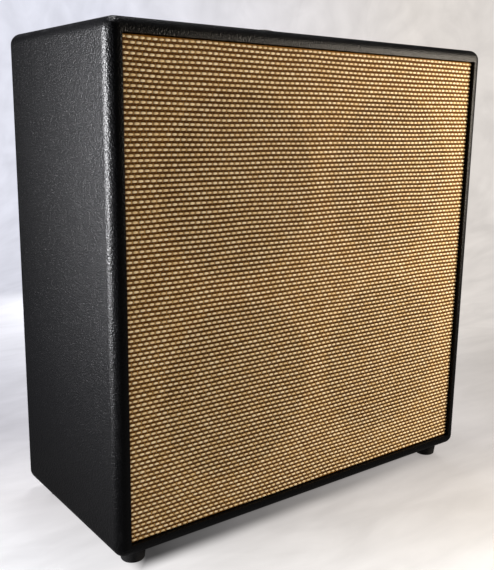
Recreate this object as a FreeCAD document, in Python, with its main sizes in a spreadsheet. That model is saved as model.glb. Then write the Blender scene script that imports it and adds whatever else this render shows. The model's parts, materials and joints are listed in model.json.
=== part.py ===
"""Closed-back guitar speaker cabinet with four drive units of twelve inches.

Frame: +Z is up, the grille faces -Y, and the origin lies on the floor under the middle of the cabinet.
Every length is in millimetres. A drive unit has a frame of its own: its axis is Y, and y = 0 is the front
face of its mounting flange.
"""
import FreeCAD, Part
import math
import os
import re

import Sketcher

# Driving dimensions, each in a cell of its own
DIMENSIONS = {
    # Plywood shell and its vinyl covering
    "cabinet_width": 756,
    "cabinet_height": 762,
    "cabinet_depth": 348,
    "panel_thickness": 19,
    "covering_thickness": 1,
    "edge_radius": 18,
    "finger_count": 9,
    "cut_overrun": 5,
    # Rubber feet
    "foot_height": 23,
    "foot_top_dia": 42,
    "foot_bottom_dia": 37,
    "foot_edge_round": 3,
    "foot_recess_dia": 19,
    "foot_web": 8,
    "foot_inset_side": 43,
    "foot_inset_front": 39,
    "foot_inset_rear": 48,
    "foot_washer_dia": 16,
    "foot_washer_thickness": 1.5,
    "foot_screw_dia": 5,
    "foot_screw_head_dia": 10,
    "foot_screw_head_height": 3.2,
    "foot_screw_length": 26,
    # Grille: cloth on a frame, held by hook-and-loop pads
    "grille_recess": 6,
    "grille_gap": 1,
    "cloth_thickness": 1,
    "cloth_edge_radius": 1.5,
    "cloth_fold": 22,
    "grille_frame_thickness": 8,
    "grille_rail_width": 38,
    "grille_fit": 0.2,
    "mitre_gap": 0.1,
    "pad_length": 60,
    "pad_width": 20,
    "pad_thickness": 2,
    "pad_corner_distance": 110,
    # Baffle, battens, centre post and back panel
    "baffle_thickness": 18,
    "baffle_gap": 0.5,
    "cleat_width": 20,
    "post_width": 44,
    "back_recess": 5,
    "back_thickness": 18,
    "back_gap": 1,
    # Countersunk wood screws and their cups
    "fastener_clearance": 0.1,
    "recess_width": 1.2,
    "recess_depth": 1.8,
    "screw_dia": 4.2,
    "screw_head_dia": 8.4,
    "screw_head_depth": 2.6,
    "screw_head_rise": 1.2,
    "screw_tip": 4,
    "baffle_screw_length": 34,
    "back_screw_length": 36,
    "cup_dia": 15,
    "cup_top_dia": 11.2,
    "cup_height": 2.4,
    "small_screw_dia": 3.5,
    "small_screw_head_dia": 7,
    "small_screw_head_depth": 2.2,
    "small_screw_head_rise": 0.8,
    "small_screw_tip": 3,
    "dish_screw_length": 16,
    "handle_screw_length": 26,
    # Carrying strap and its end caps
    "handle_length": 270,
    "handle_cap_length": 50,
    "handle_cap_width": 46,
    "handle_cap_wall": 4,
    "handle_cap_roof": 3,
    "handle_cap_toe": 5,
    "handle_cap_hollow": 26,
    "handle_cap_round": 2,
    "strap_width": 30,
    "strap_thickness": 6,
    "strap_rise": 14,
    "strap_lift": 4,
    "strap_end_width": 36,
    "strap_end_length": 20,
    "strap_straight": 3,
    "strap_clearance": 0.4,
    # Jack dish, jack and nut
    "jack_drop_height": 180,
    "dish_flange_dia": 92,
    "dish_flange_thickness": 2.5,
    "dish_recess_dia": 60,
    "dish_depth": 24,
    "dish_wall": 2.5,
    "dish_hole_gap": 0.5,
    "dish_screw_circle": 79,
    "jack_bushing_dia": 9.5,
    "jack_bushing_length": 9,
    "jack_bore_dia": 6.4,
    "jack_bore_depth": 31,
    "jack_body_dia": 19,
    "jack_body_length": 26,
    "jack_nut_flats": 14,
    "jack_nut_thickness": 2.4,
    "lug_width": 16,
    "lug_length": 8,
    "lug_thickness": 0.8,
    "lug_spacing": 8,
    # Drive unit: basket and gasket
    "speaker_inset_across": 36,
    "speaker_inset_up": 43,
    "flange_gap": 9,
    "flange_lap": 14.5,
    "bolt_edge_distance": 6,
    "bolt_hole_count": 8,
    "bolt_angle": 22.5,
    "bolt_hole_dia": 6,
    "basket_wall": 1.6,
    "mouth_inset": 20.5,
    "basket_depth": 82,
    "spider_seat_dia": 132,
    "spider_seat_width": 9,
    "spider_seat_depth": 56,
    "basket_floor_dia": 110,
    "basket_floor_hole_dia": 54,
    "window_count": 8,
    "window_inner_margin": 8,
    "window_outer_margin": 10,
    "strut_inner_width": 21,
    "strut_outer_width": 28.5,
    "gasket_thickness": 3,
    "gasket_width": 13,
    # Drive unit: moving parts and their suspension
    "cone_inset": 30.5,
    "cone_lip_width": 6,
    "cone_depth": 50,
    "cone_thickness": 1,
    "surround_inset": 14,
    "surround_thickness": 0.8,
    "surround_roll_count": 2,
    "surround_roll_rise": 2.2,
    "coil_bore_dia": 44.4,
    "former_wall": 0.4,
    "former_length": 46,
    "winding_build": 0.5,
    "winding_height": 12,
    "spider_thickness": 0.7,
    "spider_collar": 3,
    "spider_wave_count": 8,
    "spider_wave_rise": 1.6,
    "bond_gap": 0.2,
    "dust_cap_dia": 76,
    "dust_cap_height": 13,
    "dust_cap_thickness": 0.8,
    # Drive unit: magnet system
    "air_gap": 0.5,
    "front_plate_dia": 140,
    "front_plate_thickness": 8,
    "magnet_dia": 156,
    "magnet_bore_dia": 62,
    "magnet_thickness": 20,
    "yoke_dia": 142,
    "yoke_thickness": 8,
    "pole_vent_dia": 12,
    # Drive unit: terminals, bolts, tee nuts and leads
    "terminal_length": 24,
    "terminal_width": 36,
    "terminal_thickness": 2,
    "tag_length": 10,
    "tag_width": 6.3,
    "tag_thickness": 0.8,
    "tag_spacing": 18,
    "bolt_dia": 5,
    "bolt_head_dia": 9.5,
    "bolt_head_height": 3.5,
    "tee_flange_dia": 17,
    "tee_flange_thickness": 1.2,
    "tee_barrel_dia": 6.8,
    "tee_barrel_length": 11,
    "lead_dia": 2.4,
    "lead_inset": 48,
    "lead_run": 60,
}

# Shares chosen by hand
WALL_LEAN_SHARE = 0.4
HEAD_SIDE_SHARE = 0.45
RECESS_REACH_SHARE = 0.56
LEAD_BEND_SHARE = 0.32
LEAD_DROP_SHARE = 0.53
SCREW_ROW_SHARES = (-1, -1 / 3, 1 / 3, 1)

# Lengths and places that follow from the driving dimensions
FORMULAS = {
    "front_plane": "-cabinet_depth / 2",
    "rear_plane": "cabinet_depth / 2",
    "box_top": "foot_height + cabinet_height",
    "box_middle": "foot_height + cabinet_height / 2",
    "wood_width": "cabinet_width - 2 * covering_thickness",
    "wood_depth": "cabinet_depth - 2 * covering_thickness",
    "wood_height": "cabinet_height - 2 * covering_thickness",
    "wood_bottom": "foot_height + covering_thickness",
    "finger_pitch": "wood_depth / finger_count",
    "inner_width": "wood_width - 2 * panel_thickness",
    "inner_height": "wood_height - 2 * panel_thickness",
    "inner_bottom": "wood_bottom + panel_thickness",
    "clear_width": "inner_width - 2 * covering_thickness",
    "clear_height": "inner_height - 2 * covering_thickness",
    "grille_width": "clear_width - 2 * grille_gap",
    "grille_height": "clear_height - 2 * grille_gap",
    "frame_width": "grille_width - 2 * cloth_thickness",
    "frame_height": "grille_height - 2 * cloth_thickness",
    "cloth_front": "front_plane + grille_recess",
    "frame_front": "cloth_front + cloth_thickness",
    "frame_back": "frame_front + grille_frame_thickness",
    "fold_back": "frame_back + cloth_thickness",
    "baffle_front": "fold_back + pad_thickness",
    "baffle_screw_rim": "baffle_front + screw_head_rise",
    "baffle_back": "baffle_front + baffle_thickness",
    "baffle_width": "inner_width - 2 * baffle_gap",
    "baffle_height": "inner_height - 2 * baffle_gap",
    "driver_face": "baffle_back + gasket_thickness",
    "back_face": "rear_plane - back_recess",
    "back_outer": "back_face - covering_thickness",
    "back_inner": "back_outer - back_thickness",
    "back_cover_width": "clear_width - 2 * back_gap",
    "back_cover_height": "clear_height - 2 * back_gap",
    "back_width": "back_cover_width - 2 * covering_thickness",
    "back_height": "back_cover_height - 2 * covering_thickness",
    "screw_row_across": "inner_width / 2 - cleat_width / 2",
    "screw_row_up": "inner_height / 2 - cleat_width / 2",
    "foot_recess_roof": "foot_height - foot_web",
    "foot_washer_bottom": "foot_recess_roof - foot_washer_thickness",
    "speaker_spacing_across": "inner_width / 2 - speaker_inset_across",
    "speaker_spacing_up": "inner_height / 2 - speaker_inset_up",
    "flange_dia": "min(speaker_spacing_across; speaker_spacing_up) - flange_gap",
    "speaker_cutout_dia": "flange_dia - 2 * flange_lap",
    "bolt_circle_dia": "flange_dia - 2 * bolt_edge_distance",
    "basket_mouth_dia": "flange_dia - 2 * mouth_inset",
    "surround_dia": "flange_dia - 2 * surround_inset",
    "cone_edge_dia": "flange_dia - 2 * cone_inset",
    "window_inner_radius": "spider_seat_dia / 2 + window_inner_margin",
    "window_outer_radius": "basket_mouth_dia / 2 - window_outer_margin",
    "window_half_angle": "180 / window_count",
    "window_inner_width": "2 * window_inner_radius * tan(window_half_angle) - strut_inner_width",
    "window_outer_width": "2 * window_outer_radius * tan(window_half_angle) - strut_outer_width",
    "former_dia": "coil_bore_dia + 2 * former_wall",
    "winding_dia": "former_dia + 2 * winding_build",
    "pole_dia": "coil_bore_dia - 2 * air_gap",
    "gap_dia": "winding_dia + 2 * air_gap",
    "cone_lip_radius": "cone_edge_dia / 2 - cone_lip_width",
    "cone_neck_radius": "former_dia / 2 + bond_gap",
    "cone_slope": "cone_depth / (cone_lip_radius - cone_neck_radius)",
    "former_front": "cone_depth - cone_thickness",
    "former_back": "former_front + former_length",
    "spider_seat_bottom": "spider_seat_dia / 2 - spider_seat_width",
    "plate_front": "basket_depth + basket_wall",
    "magnet_front": "plate_front + front_plate_thickness",
    "yoke_front": "magnet_front + magnet_thickness",
    "yoke_back": "yoke_front + yoke_thickness",
    "jack_height": "box_middle - jack_drop_height",
    "dish_floor_front": "back_face + dish_flange_thickness - dish_depth - dish_wall",
    "cap_inside_height": "strap_thickness + strap_lift + 2 * strap_clearance",
    "cap_height": "cap_inside_height + handle_cap_roof",
    "cap_inner_end": "handle_length / 2 - handle_cap_length",
    "strap_bend_start": "cap_inner_end - strap_straight",
    "strap_end": "cap_inner_end + handle_cap_wall + strap_clearance + strap_end_length",
    "tag_radius": "spider_seat_bottom + terminal_length + tag_length",
    "terminal_back": "driver_face + spider_seat_depth + basket_wall + terminal_thickness",
    "tag_depth": "terminal_back - tag_thickness / 2",
    "tag_reach": "speaker_spacing_up / 2 - tag_radius",
    "lead_start": "tag_reach / 2",
    "lead_bend": f"tag_reach * {LEAD_BEND_SHARE}",
    "lead_drop": f"tag_reach * {LEAD_DROP_SHARE}",
    "lug_front": "dish_floor_front - jack_body_length - lug_length",
}

doc = FreeCAD.newDocument("speaker_cabinet")
sheet = doc.addObject("Spreadsheet::Sheet", "sizes")
for row, (alias, value) in enumerate(DIMENSIONS.items(), start=1):
    sheet.set(f"A{row}", alias.replace("_", " "))
    sheet.set(f"B{row}", str(value))
    sheet.setAlias(f"B{row}", alias)
doc.recompute()


def expand(formula):
    """Write a formula of named sizes as an expression on the sheet's cells."""
    def cell(match):
        word = match.group()
        if word in FORMULAS:
            return f"({expand(FORMULAS[word])})"
        return f"sizes.{word}" if word in DIMENSIONS else word
    return re.sub(r"[a-z_]+", cell, str(formula))


def size(formula):
    """The formula's value in millimetres."""
    return float(sheet.evalExpression(expand(formula)))


def bind(item, **formulas):
    for name, formula in formulas.items():
        item.setExpression(name, expand(formula))


def place(item, x="0", y="0", z="0"):
    for axis, formula in zip("xyz", (x, y, z)):
        item.setExpression(f"Placement.Base.{axis}", expand(formula))
    return item


# Sketches and features

def origin_item(body, role):
    return next(item for item in body.Origin.OriginFeatures if item.Role == role)


def new_body(label):
    body = doc.addObject("PartDesign::Body", label)
    body.Label = label
    return body


def new_sketch(body, plane):
    sketch = body.newObject("Sketcher::SketchObject", f"{body.Name}_sketch")
    sketch.AttachmentSupport = [(origin_item(body, plane), "")]
    sketch.MapMode = "FlatFace"
    return sketch


def fix_point(sketch, geometry, end, x, y):
    for kind, formula in (("DistanceX", x), ("DistanceY", y)):
        rule = sketch.addConstraint(Sketcher.Constraint(kind, -1, 1, geometry, end, size(formula)))
        sketch.setExpression(f"Constraints[{rule}]", expand(formula))


def fix_radius(sketch, geometry, formula):
    rule = sketch.addConstraint(Sketcher.Constraint("Radius", geometry, size(formula)))
    sketch.setExpression(f"Constraints[{rule}]", expand(formula))


def add_circle(sketch, x, y, diameter):
    centre = FreeCAD.Vector(size(x), size(y), 0)
    radius = f"({diameter}) / 2"
    circle = sketch.addGeometry(Part.Circle(centre, FreeCAD.Vector(0, 0, 1), size(radius)))
    fix_point(sketch, circle, 3, x, y)
    fix_radius(sketch, circle, radius)


def arc_radius(start, end, rise):
    across = f"((({end[0]}) - ({start[0]})) ^ 2 + (({end[1]}) - ({start[1]})) ^ 2)"
    return f"{across} / (8 * abs({rise})) + abs({rise}) / 2"


def add_arc(sketch, start, end, rise):
    """An arc that stands out by rise, to the left of the way from start to end."""
    first = FreeCAD.Vector(size(start[0]), size(start[1]), 0)
    last = FreeCAD.Vector(size(end[0]), size(end[1]), 0)
    height = size(rise)
    radius = size(arc_radius(start, end, rise))
    way = (last - first).normalize()
    left = FreeCAD.Vector(-way.y, way.x, 0)
    middle = (first + last) * 0.5
    centre = middle + left * (height - math.copysign(radius, height))
    clockwise = height > 0
    begin, finish = (last, first) if clockwise else (first, last)
    angles = [math.atan2(p.y - centre.y, p.x - centre.x) for p in (begin, finish)]
    circle = Part.Circle(centre, FreeCAD.Vector(0, 0, 1), radius)
    arc = sketch.addGeometry(Part.ArcOfCircle(circle, angles[0], angles[1]))
    fix_radius(sketch, arc, arc_radius(start, end, rise))
    return arc, (2, 1) if clockwise else (1, 2)


def add_outline(sketch, corners):
    """A closed outline of corners (x, y). A third entry makes the side that arrives there an arc."""
    sides = []
    for start, end in zip([corners[-1]] + corners[:-1], corners):
        if len(end) == 3:
            sides.append(add_arc(sketch, start, end, end[2]))
        else:
            points = [FreeCAD.Vector(size(x), size(y), 0) for x, y in (start[:2], end[:2])]
            sides.append((sketch.addGeometry(Part.LineSegment(*points)), (1, 2)))
    for (side, ends), (after, after_ends), corner in zip(sides, sides[1:] + sides[:1], corners):
        sketch.addConstraint(Sketcher.Constraint("Coincident", side, ends[1], after, after_ends[0]))
        fix_point(sketch, side, ends[1], corner[0], corner[1])


def rectangle(width, height, x="0", y="0"):
    corners = []
    for across, up in ((-1, -1), (1, -1), (1, 1), (-1, 1)):
        corners.append((f"({x}) + ({across}) * ({width}) / 2", f"({y}) + ({up}) * ({height}) / 2"))
    return corners


def pad(body, sketch, length, reverse=False, symmetric=False):
    feature = body.newObject("PartDesign::Pad", f"{body.Name}_pad")
    feature.Profile = sketch
    feature.Reversed = reverse
    feature.SideType = "Symmetric" if symmetric else "One side"
    bind(feature, Length=length)
    return feature


def through_pocket(body, sketch):
    feature = body.newObject("PartDesign::Pocket", f"{body.Name}_pocket")
    feature.Profile = sketch
    feature.Type = "ThroughAll"
    feature.SideType = "Symmetric"
    return feature


def polar_pattern(body, feature, axis, count):
    pattern = body.newObject("PartDesign::PolarPattern", f"{body.Name}_pattern")
    pattern.Originals = [feature]
    pattern.Axis = (origin_item(body, axis), [""])
    pattern.Angle = 360
    bind(pattern, Occurrences=count)
    body.Tip = pattern


def round_edges(body, radius, chosen=None):
    """Round every edge, or those that the test chooses on the finished body."""
    doc.recompute()
    base = body.Tip
    fillet = body.newObject("PartDesign::Fillet", f"{body.Name}_fillet")
    edges = enumerate(base.Shape.Edges, start=1)
    fillet.Base = (base, [f"Edge{n}" for n, edge in edges if chosen is None or chosen(edge)])
    bind(fillet, Radius=radius)
    body.Tip = fillet


def turned(label, corners, plane="XY_Plane"):
    """A turned piece: the outline (radius, along) goes round Y, or round Z on the XZ plane."""
    body = new_body(label)
    sketch = new_sketch(body, plane)
    add_outline(sketch, corners)
    feature = body.newObject("PartDesign::Revolution", f"{label}_turn")
    feature.Profile = sketch
    feature.ReferenceAxis = (sketch, ["V_Axis"])
    feature.Angle = 360
    return body


def plate(label, corners, thickness, holes=()):
    """A flat board that faces the front, with round holes (x, z, diameter). Its front face is at y = 0."""
    body = new_body(label)
    sketch = new_sketch(body, "XZ_Plane")
    add_outline(sketch, corners)
    for hole in holes:
        add_circle(sketch, *hole)
    pad(body, sketch, thickness, reverse=True)
    return body


def rounded_block(label, width, depth, height, radius):
    body = new_body(label)
    sketch = new_sketch(body, "XY_Plane")
    add_outline(sketch, rectangle(width, depth))
    pad(body, sketch, height)
    round_edges(body, radius)
    return body


# Solids and groups

def block(label, length, depth, height, x="0", y="0", z="0"):
    """A block whose middle in X is x, whose front is y and whose bottom is z."""
    solid = doc.addObject("Part::Box", label)
    bind(solid, Length=length, Width=depth, Height=height)
    return place(solid, f"({x}) - ({length}) / 2", y, z)


def group(label, items):
    compound = doc.addObject("Part::Compound", label)
    compound.Links = list(items)
    compound.Label = label
    return compound


def cut(label, base, tool):
    solid = doc.addObject("Part::Cut", label)
    solid.Base = base
    solid.Tool = tool
    solid.Label = label
    return solid


def common(label, base, tool):
    solid = doc.addObject("Part::Common", label)
    solid.Base = base
    solid.Tool = tool
    solid.Label = label
    return solid


def fuse(label, items):
    solid = doc.addObject("Part::MultiFuse", label)
    solid.Shapes = list(items)
    solid.Label = label
    return solid


def copies(label, master, spots, axis=FreeCAD.Vector(0, 1, 0)):
    """Copies of one piece. A spot is (x, y, z), and a fourth entry is the angle that it turns by."""
    doc.recompute()
    shapes = []
    for spot in spots:
        shape = master.Shape.copy()
        if len(spot) == 4:
            shape.rotate(FreeCAD.Vector(), axis, spot[3])
        shape.translate(FreeCAD.Vector(*(size(formula) for formula in spot[:3])))
        shapes.append(shape)
    item = doc.addObject("Part::Feature", label)
    item.Shape = Part.makeCompound(shapes)
    item.Label = label
    return item


# Fasteners. Each is turned about Y or Z, along is measured from the head's rim in the way that it is driven

def dome_rise(radius, height):
    """How far the arc from a dome's rim to its top stands out from its chord."""
    ball = f"((({radius}) ^ 2 + ({height}) ^ 2) / (2 * ({height})))"
    return f"({ball} - sqrt({ball} ^ 2 - (({radius}) ^ 2 + ({height}) ^ 2) / 4))"


def with_recess(label, screw, kind, top, way, plane):
    """The screw with a cross for the driver cut into the top of its head."""
    reach = f"{kind}_head_dia * {RECESS_REACH_SHARE}"
    start = f"-({top}) - cut_overrun" if way > 0 else f"{top} - recess_depth"
    deep = "recess_depth + cut_overrun"
    arms = []
    for long, short in ((reach, "recess_width"), ("recess_width", reach)):
        if plane == "XY_Plane":
            arms.append(block(f"{label}_arm", long, deep, short, "0", start, f"-({short}) / 2"))
        else:
            arms.append(block(f"{label}_arm", long, short, deep, "0", f"-({short}) / 2", start))
    return cut(label, screw, fuse(f"{label}_recess", arms))


def countersunk_screw(label, kind, length, way, plane="XY_Plane"):
    head = f"{kind}_head_dia / 2"
    rise = dome_rise(head, f"{kind}_head_rise")
    corners = [("0", f"({way}) * (-{kind}_head_rise)"),
               (head, "0", f"-({way}) * {rise}"),
               (f"{kind}_dia / 2", f"({way}) * {kind}_head_depth"),
               (f"{kind}_dia / 2", f"({way}) * ({length} - {kind}_tip)"),
               ("0", f"({way}) * {length}")]
    return with_recess(label, turned(f"{label}_blank", corners, plane), kind, f"{kind}_head_rise", way, plane)


def countersunk_hole(label, kind, length, way, plane="XY_Plane"):
    head = f"{kind}_head_dia / 2 + fastener_clearance"
    shank = f"{kind}_dia / 2 + fastener_clearance"
    corners = [("0", f"({way}) * (-cut_overrun)"),
               (head, f"({way}) * (-cut_overrun)"),
               (head, "0"),
               (shank, f"({way}) * {kind}_head_depth"),
               (shank, f"({way}) * ({length} + fastener_clearance)"),
               ("0", f"({way}) * ({length} + fastener_clearance)")]
    return turned(label, corners, plane)


def pan_screw(label, kind, length, way, plane="XY_Plane"):
    head = f"{kind}_head_dia / 2"
    side = f"{kind}_head_height * {HEAD_SIDE_SHARE}"
    crown = f"({kind}_head_height - {side})"
    corners = [("0", f"({way}) * (-{kind}_head_height)"),
               (head, f"({way}) * (-({side}))", f"-({way}) * {dome_rise(head, crown)}"),
               (head, "0"),
               (f"{kind}_dia / 2", "0"),
               (f"{kind}_dia / 2", f"({way}) * ({length})"),
               ("0", f"({way}) * ({length})")]
    return with_recess(label, turned(f"{label}_blank", corners, plane), kind, f"{kind}_head_height", way, plane)


def shank_hole(label, diameter, length, way, plane="XY_Plane"):
    radius = f"({diameter}) / 2 + fastener_clearance"
    corners = [("0", f"({way}) * (-cut_overrun)"),
               (radius, f"({way}) * (-cut_overrun)"),
               (radius, f"({way}) * (({length}) + fastener_clearance)"),
               ("0", f"({way}) * (({length}) + fastener_clearance)")]
    return turned(label, corners, plane)


# Places that several pieces share

SPEAKERS = [("upper_left", -1, 1), ("upper_right", 1, 1), ("lower_left", -1, -1), ("lower_right", 1, -1)]


def speaker_centre(side, level):
    return f"({side}) * speaker_spacing_across / 2", f"box_middle + ({level}) * speaker_spacing_up / 2"


def speaker_spots(y):
    return [(x, y, z) for x, z in (speaker_centre(side, level) for _, side, level in SPEAKERS)]


def bolt_spots(y):
    """Four bolts a speaker, in every second hole of its flange."""
    spots = []
    for _, side, level in SPEAKERS:
        x, z = speaker_centre(side, level)
        for turn in range(0, 360, 90):
            angle = f"bolt_angle + {turn}"
            spots.append((f"{x} + bolt_circle_dia / 2 * cos({angle})", y,
                          f"{z} + bolt_circle_dia / 2 * sin({angle})"))
    return spots


def batten_screw_spots(y):
    """Screws along the battens on all four walls, and one in the end of the centre post."""
    across, up = "screw_row_across", "screw_row_up"
    spots = [("0", y, "box_middle")]
    for share in SCREW_ROW_SHARES:
        for level in (-1, 1):
            spots.append((f"({share}) * {across}", y, f"box_middle + ({level}) * {up}"))
    for share in SCREW_ROW_SHARES[1:-1]:
        for side in (-1, 1):
            spots.append((f"({side}) * {across}", y, f"box_middle + ({share}) * {up}"))
    return spots


def foot_spots(z):
    side = "cabinet_width / 2 - foot_inset_side"
    rows = ("front_plane + foot_inset_front", "rear_plane - foot_inset_rear")
    return [(f"({sign}) * ({side})", row, z) for sign in (-1, 1) for row in rows]


def handle_screw_spots(z):
    solid_end = "(handle_length + handle_cap_hollow - handle_cap_length) / 2"
    middle = f"({solid_end} + handle_length / 2) / 2"
    return [(f"({sign}) * {middle}", "0", z) for sign in (-1, 1)]


def dish_screw_spots(y):
    spots = []
    for turn in range(45, 360, 90):
        spots.append((f"dish_screw_circle / 2 * cos({turn})", y,
                      f"jack_height + dish_screw_circle / 2 * sin({turn})"))
    return spots


# Holes that fasteners need

baffle_screw_holes = copies("baffle_screw_holes",
                            countersunk_hole("baffle_screw_hole", "screw", "baffle_screw_length", 1),
                            batten_screw_spots("baffle_screw_rim"))
back_screw_holes = copies("back_screw_holes",
                          countersunk_hole("back_screw_hole", "screw", "back_screw_length", -1),
                          batten_screw_spots("back_face + cup_height"))
foot_screw_holes = copies("foot_screw_holes",
                          shank_hole("foot_screw_hole", "foot_screw_dia", "foot_screw_length", 1,
                                     "XZ_Plane"),
                          foot_spots("foot_washer_bottom"))
handle_screw_holes = copies("handle_screw_holes",
                            countersunk_hole("handle_screw_hole", "small_screw", "handle_screw_length", -1,
                                             "XZ_Plane"),
                            handle_screw_spots("box_top + cap_height"))
dish_screw_holes = copies("dish_screw_holes",
                          countersunk_hole("dish_screw_hole", "small_screw", "dish_screw_length", -1),
                          dish_screw_spots("back_face + dish_flange_thickness"))
tee_nut_holes = copies("tee_nut_holes",
                       shank_hole("tee_nut_hole", "tee_barrel_dia", "baffle_thickness + cut_overrun", 1),
                       bolt_spots("baffle_front"))


# Shell: four finger-jointed panels inside one rounded form, and the vinyl that covers them

def finger_blocks(side, level, parity, label):
    """The fingers of one corner with this parity, counted from the front."""
    blocks = []
    x = f"({side}) * (wood_width - panel_thickness) / 2"
    z = "wood_bottom" if level < 0 else "wood_bottom + wood_height - panel_thickness"
    for finger in range(parity, DIMENSIONS["finger_count"], 2):
        y = f"front_plane + covering_thickness + {finger} * finger_pitch"
        blocks.append(block(f"{label}_slot", "panel_thickness", "finger_pitch", "panel_thickness", x, y, z))
    return blocks


def shell_panels():
    form = place(rounded_block("wood_form", "wood_width", "wood_depth", "wood_height",
                               "edge_radius - covering_thickness"), z="wood_bottom")
    front = "front_plane + covering_thickness"
    panels = []
    for label, side in (("left_side_panel", -1), ("right_side_panel", 1)):
        blank = block(f"{label}_blank", "panel_thickness", "wood_depth", "wood_height",
                      f"({side}) * (wood_width - panel_thickness) / 2", front, "wood_bottom")
        slots = finger_blocks(side, -1, 1, label) + finger_blocks(side, 1, 1, label)
        panels.append((label, cut(f"{label}_comb", blank, group(f"{label}_slots", slots))))
    for label, level in (("bottom_panel", -1), ("top_panel", 1)):
        z = "wood_bottom" if level < 0 else "wood_bottom + wood_height - panel_thickness"
        blank = block(f"{label}_blank", "wood_width", "wood_depth", "panel_thickness", "0", front, z)
        slots = finger_blocks(-1, level, 0, label) + finger_blocks(1, level, 0, label)
        comb = cut(f"{label}_comb", blank, group(f"{label}_slots", slots))
        holes = foot_screw_holes if level < 0 else handle_screw_holes
        panels.append((label, cut(f"{label}_drilled", comb, holes)))
    return form, [common(label, comb, form) for label, comb in panels]


def vinyl_covering(wood_form):
    """The skin over the shell, turned in round the front and rear edges."""
    outer = rounded_block("covering_form", "cabinet_width", "cabinet_depth", "cabinet_height",
                          "edge_radius")
    place(outer, z="foot_height")
    inside = block("wood_inside", "inner_width", "cabinet_depth + 2 * cut_overrun", "inner_height",
                   "0", "front_plane - cut_overrun", "inner_bottom")
    wood = cut("wood_ring", wood_form, inside)
    mouth = block("covering_mouth", "clear_width", "cabinet_depth + 2 * cut_overrun", "clear_height",
                  "0", "front_plane - cut_overrun", "inner_bottom + covering_thickness")
    bare = block("bare_inside", "inner_width", "back_inner - (baffle_front)", "inner_height",
                 "0", "baffle_front", "inner_bottom")
    skin = cut("covering_skin", cut("covering_ring", outer, mouth), wood)
    trimmed = cut("covering_trimmed", skin, bare)
    return cut("vinyl_covering", trimmed, group("covering_holes", [foot_screw_holes, handle_screw_holes]))


# Baffle, battens, post and back panel

def four_battens(label, front, holes):
    """Battens on the four inner walls, from front backwards by their own width."""
    battens = []
    for level in (0, 1):
        z = f"inner_bottom + {level} * (inner_height - cleat_width)"
        battens.append(block(f"{label}_long", "inner_width", "cleat_width", "cleat_width", "0", front, z))
    for side in (-1, 1):
        x = f"({side}) * (inner_width - cleat_width) / 2"
        battens.append(block(f"{label}_short", "cleat_width", "cleat_width",
                             "inner_height - 2 * cleat_width", x, front, "inner_bottom + cleat_width"))
    return cut(label, group(f"{label}_blanks", battens), holes)


def front_baffle():
    cutouts = [(x, z, "speaker_cutout_dia") for x, z in (speaker_centre(s, n) for _, s, n in SPEAKERS)]
    board = plate("baffle_board", rectangle("baffle_width", "baffle_height", "0", "box_middle"),
                  "baffle_thickness", cutouts)
    place(board, y="baffle_front")
    return cut("front_baffle", board, group("baffle_holes", [baffle_screw_holes, tee_nut_holes]))


def centre_post():
    post = block("post_blank", "post_width", "back_inner - (baffle_back)", "post_width",
                 "0", "baffle_back", "box_middle - post_width / 2")
    return cut("centre_post", post, group("post_holes", [baffle_screw_holes, back_screw_holes]))


def back_panel():
    dish_hole = ("0", "jack_height", "dish_recess_dia + 2 * dish_wall + 2 * dish_hole_gap")
    board = place(plate("back_board", rectangle("back_width", "back_height", "0", "box_middle"),
                        "back_thickness", [dish_hole]), y="back_inner")
    tray = place(plate("back_tray", rectangle("back_cover_width", "back_cover_height", "0", "box_middle"),
                       "back_thickness + covering_thickness", [dish_hole]), y="back_inner")
    solid_board = block("back_board_space", "back_width", "back_thickness", "back_height",
                        "0", "back_inner", "box_middle - (back_height) / 2")
    holes = group("back_holes", [back_screw_holes, dish_screw_holes])
    covering = cut("back_covering_blank", tray, solid_board)
    return [cut("back_panel", board, holes), cut("back_panel_covering", covering, holes)]


def screws_and_cups():
    cup_seat = "screw_head_dia / 2 + fastener_clearance"
    cup_foot = f"({cup_seat} - (screw_head_dia - screw_dia) / 2 * cup_height / screw_head_depth)"
    cup = turned("screw_cup", [(cup_seat, "0"), ("cup_top_dia / 2", "0"), ("cup_dia / 2", "-cup_height"),
                               (cup_foot, "-cup_height")])
    return [
        copies("baffle_screws", countersunk_screw("baffle_screw", "screw", "baffle_screw_length", 1),
               batten_screw_spots("baffle_screw_rim")),
        copies("back_panel_screws", countersunk_screw("back_panel_screw", "screw", "back_screw_length", -1),
               batten_screw_spots("back_face + cup_height")),
        copies("back_screw_cups", cup, batten_screw_spots("back_face + cup_height")),
    ]


# Grille

def grille_frame():
    """Four mitred rails."""
    rails = []
    for label, side, level in (("left", -1, 0), ("right", 1, 0), ("bottom", 0, -1), ("top", 0, 1)):
        corners = []
        for end, inset in ((-1, 0), (1, 0), (1, 1), (-1, 1)):
            x, z = (side, end) if side else (end, level)
            step_in = f"grille_fit - {inset} * grille_rail_width"
            across = f"(frame_width / 2 - {step_in} - {abs(level)} * mitre_gap)"
            up = f"(frame_height / 2 - {step_in} - {abs(side)} * mitre_gap)"
            corners.append((f"({x}) * {across}", f"box_middle + ({z}) * {up}"))
        rail = plate(f"grille_rail_{label}", corners, "grille_frame_thickness - grille_fit")
        rails.append(place(rail, y="frame_front + grille_fit"))
    return group("grille_frame", rails)


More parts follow.
